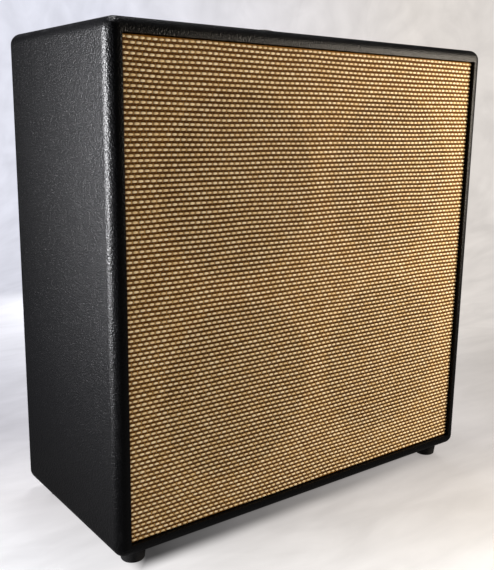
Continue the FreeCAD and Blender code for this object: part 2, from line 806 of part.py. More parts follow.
def grille_cloth():
    """Cloth over the front and the edges of the frame, folded in behind it."""
    wrap = rounded_block("cloth_wrap", "grille_width", "fold_back - (cloth_front)", "grille_height",
                         "cloth_edge_radius")
    place(wrap, y="(cloth_front + fold_back) / 2", z="box_middle - (grille_height) / 2")
    inside = block("cloth_inside", "frame_width", "grille_frame_thickness", "frame_height",
                   "0", "frame_front", "box_middle - (frame_height) / 2")
    window = block("cloth_window", "grille_width - 2 * cloth_fold", "grille_frame_thickness + cut_overrun",
                   "grille_height - 2 * cloth_fold", "0", "frame_front",
                   "box_middle - (grille_height) / 2 + cloth_fold")
    return cut("grille_cloth", cut("cloth_hollow", wrap, inside), window)


def grille_pads():
    """A pad near each corner, between the cloth's fold and the baffle."""
    pads = []
    for side in (-1, 1):
        for level in (-1, 1):
            x = f"({side}) * (grille_width / 2 - pad_corner_distance)"
            z = f"box_middle + ({level}) * (grille_height / 2 - cloth_fold / 2) - pad_width / 2"
            pads.append(block("grille_pad", "pad_length", "pad_thickness", "pad_width", x, "fold_back", z))
    return group("grille_pads", pads)


# Feet

def feet():
    foot = turned("rubber_foot", [
        ("foot_recess_dia / 2", "0"),
        ("foot_bottom_dia / 2 - foot_edge_round", "0"),
        ("foot_bottom_dia / 2", "foot_edge_round", "-(foot_edge_round * (sqrt(2) - 1) / sqrt(2))"),
        ("foot_top_dia / 2", "foot_height"),
        ("foot_screw_dia / 2 + fastener_clearance", "foot_height"),
        ("foot_screw_dia / 2 + fastener_clearance", "foot_recess_roof"),
        ("foot_recess_dia / 2", "foot_recess_roof"),
    ], "XZ_Plane")
    washer = turned("foot_washer", [
        ("foot_screw_dia / 2 + fastener_clearance", "0"),
        ("foot_washer_dia / 2", "0"),
        ("foot_washer_dia / 2", "foot_washer_thickness"),
        ("foot_screw_dia / 2 + fastener_clearance", "foot_washer_thickness"),
    ], "XZ_Plane")
    screw = pan_screw("foot_screw", "foot_screw", "foot_screw_length", 1, "XZ_Plane")
    return [copies("rubber_feet", foot, foot_spots("0")),
            copies("foot_washers", washer, foot_spots("foot_washer_bottom")),
            copies("foot_screws", screw, foot_spots("foot_washer_bottom"))]


# Carrying strap

def handle_strap():
    """A sprung strap that rests flat in its caps and rises between them in three arcs of one radius."""
    half = "(strap_bend_start) / 2"
    radius = f"(({half}) ^ 2 + (strap_rise / 2) ^ 2) / strap_rise"
    chord_squared = f"(({half}) ^ 2 + (strap_rise / 2) ^ 2)"
    side_rise = f"(({radius}) - sqrt(({radius}) ^ 2 - {chord_squared} / 4))"
    crown_rise = "strap_rise / 2"
    low, high = "strap_clearance", "strap_clearance + strap_thickness"
    lower = [("-(strap_end)", low), ("-(strap_bend_start)", low),
             (f"-{half}", f"{low} + strap_rise / 2", f"-{side_rise}"),
             (half, f"{low} + strap_rise / 2", crown_rise),
             ("strap_bend_start", low, f"-{side_rise}"), ("strap_end", low)]
    upper = [("strap_end", high), ("strap_bend_start", high),
             (half, f"{high} + strap_rise / 2", side_rise),
             (f"-{half}", f"{high} + strap_rise / 2", f"-({crown_rise})"),
             ("-(strap_bend_start)", high, side_rise), ("-(strap_end)", high)]
    body = new_body("handle_strap")
    band = new_sketch(body, "XZ_Plane")
    add_outline(band, lower + upper)
    pad(body, band, "strap_width", symmetric=True)
    ends = new_sketch(body, "XZ_Plane")
    for side in (-1, 1):
        add_outline(ends, rectangle("strap_end_length", "strap_thickness",
                                    f"({side}) * (strap_end - strap_end_length / 2)",
                                    f"{low} + strap_thickness / 2"))
    pad(body, ends, "strap_end_width", symmetric=True)
    return place(body, z="box_top")


def handle_caps():
    """Moulded end caps: solid at the screw, hollow where the strap's wider end slides."""
    out, inner = "handle_length / 2", "cap_inner_end"
    hollow_end = f"{inner} + handle_cap_hollow"
    body = new_body("handle_cap")
    side = new_sketch(body, "XZ_Plane")
    shoulder = "cap_height - handle_cap_toe"
    bulge = f"(({shoulder}) * (sqrt(2) - 1) / sqrt(2))"
    add_outline(side, [(inner, "0"), (out, "0"), (out, "handle_cap_toe"),
                       (f"{out} - ({shoulder})", "cap_height", f"-{bulge}"), (inner, "cap_height")])
    pad(body, side, "handle_cap_width", symmetric=True)
    along_top = size("cap_height")
    round_edges(body, "handle_cap_round",
                lambda edge: all(abs(v.Z - along_top) < size("handle_cap_round") for v in edge.Vertexes))
    hollow = new_sketch(body, "XY_Plane")
    mouth = "(strap_width / 2 + strap_clearance)"
    wide = "(strap_end_width / 2 + strap_clearance)"
    wall_end = f"{inner} + handle_cap_wall"
    start = f"{inner} - cut_overrun"
    add_outline(hollow, [(start, f"-{mouth}"), (wall_end, f"-{mouth}"), (wall_end, f"-{wide}"),
                         (hollow_end, f"-{wide}"), (hollow_end, wide), (wall_end, wide), (wall_end, mouth),
                         (start, mouth)])
    pocket = body.newObject("PartDesign::Pocket", "handle_cap_pocket")
    pocket.Profile = hollow
    pocket.Reversed = True
    bind(pocket, Length="cap_inside_height")
    body.Tip = pocket
    caps = copies("handle_cap_pair", body, [("0", "0", "box_top", 0), ("0", "0", "box_top", 180)],
                  FreeCAD.Vector(0, 0, 1))
    return cut("handle_caps", caps, handle_screw_holes)


# Input jack in its dish

def jack_dish():
    rim, bowl = "dish_flange_dia / 2", "dish_recess_dia / 2"
    bottom = "dish_flange_thickness - dish_depth - dish_wall"
    body = turned("jack_dish_turned", [
        (bowl, "dish_flange_thickness"), (rim, "dish_flange_thickness"), (rim, "0"),
        (f"{bowl} + dish_wall", "0"), (f"{bowl} + dish_wall", bottom),
        ("jack_bushing_dia / 2 + fastener_clearance", bottom),
        ("jack_bushing_dia / 2 + fastener_clearance", f"{bottom} + dish_wall"),
        (bowl, f"{bottom} + dish_wall"),
    ])
    place(body, y="back_face", z="jack_height")
    return cut("jack_dish", body, dish_screw_holes)


def input_jack():
    """A closed quarter-inch socket: threaded bushing, body and two solder lugs."""
    bore, nose = "jack_bore_dia / 2", "jack_bushing_length"
    body = turned("jack_body", [
        ("0", f"{nose} - jack_bore_depth"), (bore, f"{nose} - jack_bore_depth"), (bore, nose),
        ("jack_bushing_dia / 2", nose), ("jack_bushing_dia / 2", "0"), ("jack_body_dia / 2", "0"),
        ("jack_body_dia / 2", "-jack_body_length"), ("0", "-jack_body_length"),
    ])
    place(body, y="dish_floor_front", z="jack_height")
    lugs = []
    for level in (-1, 1):
        lugs.append(block("jack_lug", "lug_width", "lug_length", "lug_thickness", "0", "lug_front",
                          f"jack_height + ({level}) * lug_spacing / 2 - lug_thickness / 2"))
    return fuse("input_jack", [body] + lugs)


def jack_nut():
    corner = "jack_nut_flats / sqrt(3)"
    corners = [(f"{corner} * cos({turn})", f"{corner} * sin({turn})") for turn in range(0, 360, 60)]
    hole = ("0", "0", "jack_bushing_dia + 2 * fastener_clearance")
    nut = plate("jack_nut", corners, "jack_nut_thickness", [hole])
    return place(nut, y="dish_floor_front + dish_wall", z="jack_height")


# Drive unit

def basket(label):
    """Stamped steel: flange, leaning wall with windows, spider seat and floor."""
    lean = f"basket_wall * {WALL_LEAN_SHARE}"
    mouth, seat = "basket_mouth_dia / 2", "spider_seat_dia / 2"
    body = turned(label, [
        ("flange_dia / 2", "0"), (mouth, "0"), (seat, "spider_seat_depth"),
        ("spider_seat_bottom", "spider_seat_depth"), ("basket_floor_dia / 2", "basket_depth"),
        ("basket_floor_hole_dia / 2", "basket_depth"), ("basket_floor_hole_dia / 2", "plate_front"),
        ("basket_floor_dia / 2 + basket_wall", "plate_front"),
        ("spider_seat_bottom + basket_wall", "spider_seat_depth + basket_wall"),
        (f"{seat} + {lean}", "spider_seat_depth + basket_wall"),
        (f"{mouth} + {lean}", "basket_wall"), ("flange_dia / 2", "basket_wall"),
    ])
    window = new_sketch(body, "XZ_Plane")
    add_outline(window, [("-window_inner_width / 2", "window_inner_radius"),
                         ("window_inner_width / 2", "window_inner_radius"),
                         ("window_outer_width / 2", "window_outer_radius"),
                         ("-window_outer_width / 2", "window_outer_radius")])
    polar_pattern(body, through_pocket(body, window), "Y_Axis", "window_count")
    bolt_holes(body)
    return body


def bolt_holes(body):
    hole = new_sketch(body, "XZ_Plane")
    add_circle(hole, "bolt_circle_dia / 2 * cos(bolt_angle)", "bolt_circle_dia / 2 * sin(bolt_angle)",
               "bolt_hole_dia")
    polar_pattern(body, through_pocket(body, hole), "Y_Axis", "bolt_hole_count")


def gasket():
    inner = "flange_dia / 2 - gasket_width"
    ring = turned("speaker_gasket", [(inner, "-gasket_thickness"), ("flange_dia / 2", "-gasket_thickness"),
                                     ("flange_dia / 2", "0"), (inner, "0")])
    bolt_holes(ring)
    return ring


def waves(start, end, level, count, rise):
    """Corners of half rolls side by side from start to end, all to one side or by turns."""
    corners = []
    for n in range(1, DIMENSIONS[count] + 1):
        corners.append((f"{start} + ({end} - ({start})) * {n} / {count}", level, rise(n)))
    return corners


def surround(label):
    """Pleated edge: a rim on the flange, rolls that face the front, and a lip on the cone."""
    rim, mouth = "surround_dia / 2", "basket_mouth_dia / 2"
    edge, lip = "cone_edge_dia / 2", "cone_lip_radius"
    top = "-surround_thickness"
    front = [(rim, top), (mouth, top)]
    front += waves(mouth, edge, top, "surround_roll_count", lambda n: "surround_roll_rise")
    front += [(lip, top), (lip, "0"), (edge, "0")]
    back = waves(edge, mouth, "0", "surround_roll_count", lambda n: "-surround_roll_rise")
    return turned(label, front + back + [(rim, "0")])


def spider(label):
    """Corrugated disc between its seat in the basket and the coil former."""
    hole = "former_dia / 2 + bond_gap"
    inner, outer = f"{hole} + spider_collar", "spider_seat_bottom"
    seat, front = "spider_seat_depth", "spider_seat_depth - spider_thickness"
    rim = "spider_seat_dia / 2 - bond_gap"

    def front_rise(n):
        return "spider_wave_rise" if n % 2 else "-spider_wave_rise"

    def back_rise(n):
        from_outside = DIMENSIONS["spider_wave_count"] + 1 - n
        return "-spider_wave_rise" if from_outside % 2 else "spider_wave_rise"

    corners = [(rim, front), (outer, front)]
    corners += waves(outer, inner, front, "spider_wave_count", front_rise)
    corners += [(hole, front), (hole, seat), (inner, seat)]
    corners += waves(inner, outer, seat, "spider_wave_count", back_rise)
    return turned(label, corners + [(rim, seat)])


def cone(label):
    """Straight-sided paper cone with a flat lip for the surround."""
    return turned(label, [
        ("cone_edge_dia / 2", "0"), ("cone_lip_radius", "0"), ("cone_neck_radius", "cone_depth"),
        ("cone_neck_radius", "cone_depth + cone_thickness"),
        ("cone_lip_radius", "cone_thickness"), ("cone_edge_dia / 2", "cone_thickness"),
    ])


def dust_cap(label):
    """Pressed dome on the cone."""
    rim = "dust_cap_dia / 2"
    seat = f"cone_depth - ({rim} - cone_neck_radius) * cone_slope - bond_gap"
    inner = f"{rim} - dust_cap_thickness"
    return turned(label, [
        ("0", f"{seat} - dust_cap_height"),
        (rim, seat, f"-{dome_rise(rim, 'dust_cap_height')}"),
        (inner, seat),
        ("0", f"{seat} - dust_cap_height + dust_cap_thickness",
         dome_rise(inner, "dust_cap_height - dust_cap_thickness")),
    ])


def voice_coil(label):
    """Former with its winding, which hangs in the magnet's gap."""
    winding_front = "former_back - winding_height"
    return turned(label, [
        ("coil_bore_dia / 2", "former_front"), ("former_dia / 2", "former_front"),
        ("former_dia / 2", winding_front), ("winding_dia / 2", winding_front),
        ("winding_dia / 2", "former_back"), ("coil_bore_dia / 2", "former_back"),
    ])


def ring(label, bore, diameter, front, back):
    return turned(label, [(f"{bore} / 2", front), (f"{diameter} / 2", front), (f"{diameter} / 2", back),
                          (f"{bore} / 2", back)])


def yoke():
    """Back plate and vented pole in one forging."""
    return turned("magnet_yoke", [
        ("pole_vent_dia / 2", "plate_front"), ("pole_dia / 2", "plate_front"),
        ("pole_dia / 2", "yoke_front"), ("yoke_dia / 2", "yoke_front"),
        ("yoke_dia / 2", "yoke_back"), ("pole_vent_dia / 2", "yoke_back"),
    ])


def terminal():
    """Board behind the spider seat, pointing up, with two push-on tags."""
    back = "spider_seat_depth + basket_wall"
    inner = "spider_seat_bottom + basket_wall"
    board = block("terminal_board", "terminal_width", "terminal_thickness", "terminal_length - basket_wall",
                  "0", back, inner)
    tags = []
    for side in (-1, 1):
        tags.append(block("terminal_tag", "tag_width", "tag_thickness", "tag_length",
                          f"({side}) * tag_spacing / 2",
                          f"{back} + terminal_thickness - tag_thickness",
                          "spider_seat_bottom + terminal_length"))
    return fuse("speaker_terminal", [board] + tags)


def drive_units():
    nodes = []
    for name, side, level in SPEAKERS:
        x, z = speaker_centre(side, level)
        for make in (basket, surround, spider, cone, dust_cap, voice_coil):
            nodes.append(place(make(f"{make.__name__}_{name}"), x, "driver_face", z))
    spots = speaker_spots("driver_face")
    turns = [(*spot, 180 if level > 0 else 0) for spot, (_, _, level) in zip(spots, SPEAKERS)]
    front_plate = ring("front_plate", "gap_dia", "front_plate_dia", "plate_front", "magnet_front")
    magnet = ring("ring_magnet", "magnet_bore_dia", "magnet_dia", "magnet_front", "yoke_front")
    nodes += [
        copies("speaker_gaskets", gasket(), spots),
        copies("front_plates", front_plate, spots),
        copies("ring_magnets", magnet, spots),
        copies("magnet_yokes", yoke(), spots),
        copies("speaker_terminals", terminal(), turns),
    ]
    bolt = pan_screw("speaker_bolt", "bolt", "basket_wall + gasket_thickness + baffle_thickness", -1)
    thread = "bolt_dia / 2 + fastener_clearance"
    tee = turned("tee_nut", [
        (thread, "-tee_flange_thickness"), ("tee_flange_dia / 2", "-tee_flange_thickness"),
        ("tee_flange_dia / 2", "0"), ("tee_barrel_dia / 2", "0"),
        ("tee_barrel_dia / 2", "tee_barrel_length"), (thread, "tee_barrel_length"),
    ])
    nodes += [copies("speaker_bolts", bolt, bolt_spots("driver_face + basket_wall")),
              copies("speaker_tee_nuts", tee, bolt_spots("baffle_front"))]
    return nodes


# Inner leads: two pairs of units in series, both pairs on the one jack

def lead(points):
    """A round lead along straight runs with tangent bends at the inner points."""
    points = [FreeCAD.Vector(*(size(formula) for formula in point)) for point in points]
    bend = size("lead_bend")
    edges = []
    last = points[0]
    for before, corner, after in zip(points, points[1:], points[2:]):
        towards = (before - corner).normalize()
        away = (after - corner).normalize()
        half = math.acos(max(-1, min(1, towards.dot(away)))) / 2
        reach = bend / math.tan(half)
        middle = corner + (towards + away).normalize() * (bend / math.sin(half) - bend)
        start, end = corner + towards * reach, corner + away * reach
        edges += [Part.LineSegment(last, start).toShape(), Part.Arc(start, middle, end).toShape()]
        last = end
    edges.append(Part.LineSegment(last, points[-1]).toShape())
    path = Part.Wire(edges)
    way = (points[1] - points[0]).normalize()
    section = Part.Wire([Part.Circle(points[0], way, size("lead_dia") / 2).toShape()])
    solid = Part.Solid(path.makePipeShell([section], True, False).Shells[0])
    expected = math.pi * (size("lead_dia") / 2) ** 2 * path.Length
    print(f"lead {path.Length:.0f} mm long, volume off by {abs(solid.Volume / expected - 1):.2%}")
    return solid


def speaker_leads():
    leads = []
    for side in (-1, 1):
        unit = f"({side}) * speaker_spacing_across / 2"
        inner = f"{unit} - ({side}) * tag_spacing / 2"
        outer = f"{unit} + ({side}) * tag_spacing / 2"
        leads.append(lead([(inner, "tag_depth", "box_middle + tag_reach"),
                           (inner, "tag_depth", "box_middle - (tag_reach)")]))
        for level in (1, -1):
            end = f"({side}) * lug_width / 4"
            lug = f"jack_height + ({level}) * lug_spacing / 2"
            knee = f"box_middle + ({level}) * (tag_reach - lead_start)"
            pull = f"({outer}) - ({side}) * lead_inset"
            leads.append(lead([
                (outer, "tag_depth", f"box_middle + ({level}) * tag_reach"),
                (outer, "tag_depth", knee),
                (pull, "tag_depth + lead_run", f"{knee} - lead_drop" if level > 0 else knee),
                (end, "lug_front - lead_run", lug),
                (end, "lug_front", lug),
            ]))
    item = doc.addObject("Part::Feature", "speaker_leads")
    item.Shape = Part.makeCompound(leads)
    item.Label = "speaker_leads"
    return item


wood_form, nodes = shell_panels()
nodes += [vinyl_covering(wood_form), front_baffle(), centre_post()]
nodes += [four_battens("front_cleats", "baffle_back", baffle_screw_holes),
          four_battens("rear_cleats", "back_inner - cleat_width", back_screw_holes)]
nodes += back_panel() + screws_and_cups()
nodes += [grille_frame(), grille_cloth(), grille_pads()]
nodes += feet()
handle_screw = countersunk_screw("handle_screw", "small_screw", "handle_screw_length", -1, "XZ_Plane")
dish_screw = countersunk_screw("jack_dish_screw", "small_screw", "dish_screw_length", -1)
nodes += [handle_strap(), handle_caps(),
          copies("handle_screws", handle_screw, handle_screw_spots("box_top + cap_height"))]
nodes += [jack_dish(), input_jack(), jack_nut(),
          copies("jack_dish_screws", dish_screw, dish_screw_spots("back_face + dish_flange_thickness"))]
nodes += drive_units() + [speaker_leads()]
doc.recompute()

# Nothing is written unless every object computed and every piece is a sound solid
faults = [item.Label for item in doc.Objects if {"Invalid", "Error"} & set(item.State)]
for item in nodes:
    if item.Shape.isNull() or not item.Shape.isValid() or not item.Shape.Solids:
        faults.append(item.Label)
if faults:
    raise RuntimeError(f"not built: {', '.join(sorted(set(faults)))}")
os.makedirs("parts", exist_ok=True)
for item in nodes:
    item.Shape.exportStep(f"parts/{item.Label}.step")
    print(f"{item.Label}: {len(item.Shape.Solids)} solids, {item.Shape.Volume / 1000:.1f} cm3")
print(f"{len(nodes)} nodes")
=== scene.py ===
# %% [markdown]
# # A guitar speaker cabinet
# The cabinet is a plywood box wrapped in grained black vinyl. A woven cane-coloured cloth on a
# frame closes the front, and four drive units stand behind it on a baffle. The solids come
# ready-made from CAD, in metres, with the grille towards -Y and the floor at z = 0. This lesson
# dresses them: a camera, light, finishes worked out from real sizes, and the cloth's weave as real
# threads.

# %% Load the solids
import json
import math

import bmesh
import bpy
from mathutils import Matrix, Vector


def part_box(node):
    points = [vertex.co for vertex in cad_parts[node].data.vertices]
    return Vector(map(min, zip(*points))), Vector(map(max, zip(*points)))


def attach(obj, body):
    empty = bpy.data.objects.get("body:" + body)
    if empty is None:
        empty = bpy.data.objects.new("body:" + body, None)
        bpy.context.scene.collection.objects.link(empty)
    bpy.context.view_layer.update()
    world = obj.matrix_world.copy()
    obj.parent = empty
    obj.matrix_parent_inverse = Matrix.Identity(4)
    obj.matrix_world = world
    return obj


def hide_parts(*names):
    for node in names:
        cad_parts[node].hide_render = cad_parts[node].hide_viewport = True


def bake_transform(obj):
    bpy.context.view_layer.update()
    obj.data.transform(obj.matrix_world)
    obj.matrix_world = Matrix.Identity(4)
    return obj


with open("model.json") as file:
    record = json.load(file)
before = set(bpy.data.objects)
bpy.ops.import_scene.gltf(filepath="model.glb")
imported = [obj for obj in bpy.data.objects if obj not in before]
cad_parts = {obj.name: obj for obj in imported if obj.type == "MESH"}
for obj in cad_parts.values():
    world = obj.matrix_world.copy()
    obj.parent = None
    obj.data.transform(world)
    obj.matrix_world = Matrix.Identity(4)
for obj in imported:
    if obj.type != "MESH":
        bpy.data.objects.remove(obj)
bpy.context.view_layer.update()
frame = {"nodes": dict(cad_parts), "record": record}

scene = bpy.context.scene
MM = 0.001

# %% [markdown]
# ## Small tools
# Colours are easiest to read as the hex values of a paint chart, but Blender mixes light in linear
# values, so one function converts them. A second function adds a node to any tree, shader or
# geometry, with its settings, its values and its links in one call. The short functions after it
# name the nodes that come up most often. That keeps a material readable as a list of steps.

# %% Colours and nodes
def hue(code):
    """An sRGB hex colour as linear red, green, blue and alpha."""
    parts = [int(code[k:k + 2], 16) / 255 for k in (1, 3, 5)]
    return [c / 12.92 if c <= 0.04045 else ((c + 0.055) / 1.055) ** 2.4 for c in parts] + [1.0]


def feed(tree, node, inputs):
    """Sets a node's inputs by name or number, or links them where the value is a socket."""
    for socket, value in dict(inputs).items():
        if isinstance(value, bpy.types.NodeSocket):
            tree.links.new(value, node.inputs[socket])
        else:
            node.inputs[socket].default_value = value


def add_node(tree, kind, inputs=(), **settings):
    """Adds a node with its settings, then sets or links its inputs."""
    made = tree.nodes.new(kind)
    for name, value in settings.items():
        setattr(made, name, value)
    feed(tree, made, inputs)
    return made

# %% Nodes that come up often
def calc(tree, operation, *values, **settings):
    """The result of a maths node on numbers or sockets."""
    return add_node(tree, "ShaderNodeMath", dict(enumerate(values)), operation=operation,
                    **settings).outputs[0]


def vector_calc(tree, operation, *values):
    """The result of a vector maths node. A length or a dot product is a number."""
    made = add_node(tree, "ShaderNodeVectorMath", dict(enumerate(values)), operation=operation)
    return made.outputs["Value" if operation in ("DOT_PRODUCT", "LENGTH") else "Vector"]


def scaled(tree, vector, factor):
    """A vector or colour times one number."""
    return add_node(tree, "ShaderNodeVectorMath", {0: vector, "Scale": factor},
                    operation="SCALE").outputs["Vector"]


def axes(tree, vector):
    """The sockets x, y and z of a vector."""
    return add_node(tree, "ShaderNodeSeparateXYZ", {0: vector}).outputs


def joined(tree, x=0.0, y=0.0, z=0.0):
    """A vector from three numbers or sockets."""
    return add_node(tree, "ShaderNodeCombineXYZ", {0: x, 1: y, 2: z}).outputs[0]


def remap(tree, value, source=(0, 1), target=(0, 1), curve="LINEAR"):
    """A value carried from one span to another and held there."""
    ends = {"Value": value, "From Min": source[0], "From Max": source[1],
            "To Min": target[0], "To Max": target[1]}
    return add_node(tree, "ShaderNodeMapRange", ends, interpolation_type=curve).outputs[0]


def between(tree, factor, first, second):
    """A colour between two, each a hex code or a socket."""
    first, second = (hue(c) if isinstance(c, str) else c for c in (first, second))
    return add_node(tree, "ShaderNodeMix", {"Factor": factor, 6: first, 7: second},
                    data_type="RGBA").outputs[2]


def noise(tree, where, scale, detail, **more):
    """The outputs of a noise texture, a number and a colour."""
    return add_node(tree, "ShaderNodeTexNoise",
                    {"Vector": where, "Scale": scale, "Detail": detail, **more}).outputs


def stretched(tree, where, scale, heading=0.0):
    """Coordinates turned about the vertical, then scaled, so that a texture is drawn out."""
    return add_node(tree, "ShaderNodeMapping",
                    {"Vector": where, "Rotation": (0, 0, heading), "Scale": scale}).outputs[0]


def object_place(tree):
    """Where a point lies on the piece, in metres."""
    return add_node(tree, "ShaderNodeTexCoord").outputs["Object"]


def new_finish(name, **fixed):
    """A material with one shader. Fixed values go straight onto the shader's own sockets."""
    material = bpy.data.materials.new(name)
    material.use_nodes = True
    tree = material.node_tree
    tree.nodes.clear()
    shader = add_node(tree, "ShaderNodeBsdfPrincipled",
                      {k.replace("_", " "): v for k, v in fixed.items()})
    add_node(tree, "ShaderNodeOutputMaterial", {"Surface": shader.outputs["BSDF"]})
    return material, tree, shader

# %% Meshes
def mesh_piece(name, verts, faces, material):
    """A smooth mesh object at the origin whose place is in its vertices."""
    mesh = bpy.data.meshes.new(name)
    mesh.from_pydata(verts, [], faces)
    mesh.materials.append(material)
    mesh.polygons.foreach_set("use_smooth", [True] * len(mesh.polygons))
    mesh.update()
    piece = bpy.data.objects.new(name, mesh)
    scene.collection.objects.link(piece)
    return piece


def turn_faces_out(piece):
    """Makes all faces of a skin look outwards."""
    work = bmesh.new()
    work.from_mesh(piece.data)
    bmesh.ops.recalc_face_normals(work, faces=work.faces)
    work.to_mesh(piece.data)
    work.free()


def faces_between(rings, count, closed):
    """Four-sided faces between rings of points. A closed run joins the last ring to the first."""
    faces = []
    for ring in range(rings if closed else rings - 1):
        here, ahead = ring * count, (ring + 1) % rings * count
        for k in range(count):
            after = (k + 1) % count
            faces.append((here + k, here + after, ahead + after, ahead + k))
    return faces


def quarter_angles(steps):
    """Angles that divide a quarter turn evenly, leaving out zero."""
    return [math.pi / 2 * step / steps for step in range(1, steps + 1)]

# %% [markdown]
# ## Camera
# The photograph was taken from the front left, a little above the middle. A camera can be placed
# by eye, but here its place and lens were worked out from the corners of the box, so that the
# edges fall where the photograph has them. The lens is in millimetres for a 36 mm sensor along the
# picture's long side.

# %% Camera
CAMERA_PLACE = Vector((-0.8495, -1.0961, 0.6568))
YAW, PITCH, ROLL = (math.radians(a) for a in (37.065, -12.008, 0.811))
SENSOR_MM, LENS_MM = 36, 49.143
level_ahead = Vector((math.sin(YAW), math.cos(YAW), 0))
level_right = Vector((math.cos(YAW), -math.sin(YAW), 0))
forward = Vector((math.sin(YAW) * math.cos(PITCH), math.cos(YAW) * math.cos(PITCH),
                  math.sin(PITCH)))
level_down = forward.cross(level_right)
right = level_right * math.cos(ROLL) - level_down * math.sin(ROLL)
down = level_right * math.sin(ROLL) + level_down * math.cos(ROLL)
camera = bpy.data.objects.new("camera", bpy.data.cameras.new("camera"))
camera.data.sensor_width = SENSOR_MM
camera.data.lens = LENS_MM
turn = Matrix((right, -down, -forward)).transposed()
camera.matrix_world = Matrix.Translation(CAMERA_PLACE) @ turn.to_4x4()
scene.collection.objects.link(camera)
scene.camera = camera
print("camera at", [round(v, 3) for v in CAMERA_PLACE])

# %% [markdown]
# ## Light
# The photograph has a lamp at the right, which makes the cloth four times as bright there as at
# the left, a smaller light behind the left side that shines along the round edge, and a white
# sheet under and behind the cabinet in a dim room. Two area lamps and a faint world do the same,
# and three more make the other sides readable. The world is pale only for camera rays, so the room
# looks pale without lighting the box.

# %% Lamps and world
WARM, COOL, WHITE = "#fff2e0", "#f8f8fb", "#ffffff"
ROOM_COLOUR, ROOM_LIGHT, ROOM_SEEN = "#e4e6ea", 0.05, 0.85


def lamp(name, place, aim, size, spread, power, tint):
    """An area lamp of a width and a height, turned to its aim. A small spread makes a beam."""
    made = bpy.data.objects.new(name, bpy.data.lights.new(name, "AREA"))
    made.data.shape = "RECTANGLE"
    made.data.size, made.data.size_y = size
    made.data.spread = math.radians(spread)
    made.data.energy = power
    made.data.color = hue(tint)[:3]
    made.location = place
    made.rotation_euler = (Vector(aim) - Vector(place)).to_track_quat("-Z", "Y").to_euler()
    scene.collection.objects.link(made)


lamp("key_right", place=(0.9, -0.72, 0.8), aim=(0.1, -0.17, 0.45), size=(0.3, 0.8),
     spread=180, power=22, tint=WARM)
lamp("soft_left", place=(-1.9, 0.55, 0.65), aim=(-0.38, -0.3, 0.7), size=(0.45, 0.8),
     spread=40, power=17, tint=COOL)
lamp("fill_right", place=(1.1, 1.4, 0.45), aim=(0.38, 0, 0.42), size=(0.45, 0.6),
     spread=60, power=10, tint=COOL)
lamp("fill_top", place=(0, 0.3, 2.0), aim=(0, 0.08, 0.785), size=(0.6, 0.2),
     spread=30, power=6, tint=COOL)
lamp("fill_back", place=(0.6, 1.5, 0.45), aim=(0, 0.17, 0.42), size=(0.9, 0.6),
     spread=180, power=40, tint=WHITE)
scene.world = bpy.data.worlds.new("pale_room")
scene.world.use_nodes = True
tree = scene.world.node_tree
seen = add_node(tree, "ShaderNodeLightPath").outputs["Is Camera Ray"]
feed(tree, tree.nodes["Background"],
     {"Color": hue(ROOM_COLOUR), "Strength": remap(tree, seen, target=(ROOM_LIGHT, ROOM_SEEN))})
scene.view_settings.view_transform = "Standard"
print("world and", len(bpy.data.lights), "lamps")

# %% [markdown]
# ## White sheet
# The sheet is one floor that sweeps up into a wall, so no horizon shows. It ends outside the
# picture, because black vinyl mirrors whatever stands beside it. Two noises, each drawn out along
# its own direction, paint the light and shade of the soft folds of a spread cloth onto the flat
# sheet. It glows by itself, which keeps it pale and throws light up onto the cloth, while its lit
# share keeps the shadows. Matt vinyl mirrors little of a floor, so reflected rays see the glow
# dimmed. A glowing sheet would shine under the box too, so three painted shadows dim it: a dark
# core below the box, a soft shadow along its edges that is deeper at the left, away from the lamp,
# and a faint wide one before and behind it.

# %% Shadow around the box
covering_low, covering_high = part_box("vinyl_covering")
covering_middle = (covering_low + covering_high) / 2
covering_half = (covering_high - covering_low) / 2
CORE_FADE, CORE_LEAST = (-74 * MM, -38 * MM), 0.03
EDGE_FADE, EDGE_SIDE_INSET = (-26 * MM, 12 * MM), 35 * MM
EDGE_SPAN, EDGE_LEAST = (-0.3, 0.3), (0.08, 0.82)
WIDE_REACH, WIDE_SPAN, WIDE_LEAST = 0.25, (-0.45, -0.2), (1.0, 0.79)


def past_box(tree, where):
    """How far a point lies past the covering's box along each axis, less than zero inside it."""
    from_middle = vector_calc(tree, "SUBTRACT", where, covering_middle)
    outward = vector_calc(tree, "ABSOLUTE", from_middle)
    return axes(tree, vector_calc(tree, "SUBTRACT", outward, covering_half))


def floor_shadow(tree, where):
    """One on the open floor, and less around the box and under it."""
    past = past_box(tree, where)
    from_left = axes(tree, where)["X"]

    def below(fade, side_inset, least):
        """One outside the fade and least inside it, with the fade further in at the sides."""
        side = calc(tree, "ADD", past[0], side_inset)
        return remap(tree, calc(tree, "MAXIMUM", side, past[1]), fade, (least, 1), "SMOOTHSTEP")

    core = below(CORE_FADE, 0, CORE_LEAST)
    edge = below(EDGE_FADE, EDGE_SIDE_INSET, remap(tree, from_left, EDGE_SPAN, EDGE_LEAST))
    wide_least = remap(tree, from_left, WIDE_SPAN, WIDE_LEAST)
    wide = remap(tree, past[1], (0, WIDE_REACH), (wide_least, 1))
    return calc(tree, "MULTIPLY", calc(tree, "MULTIPLY", core, edge), wide)
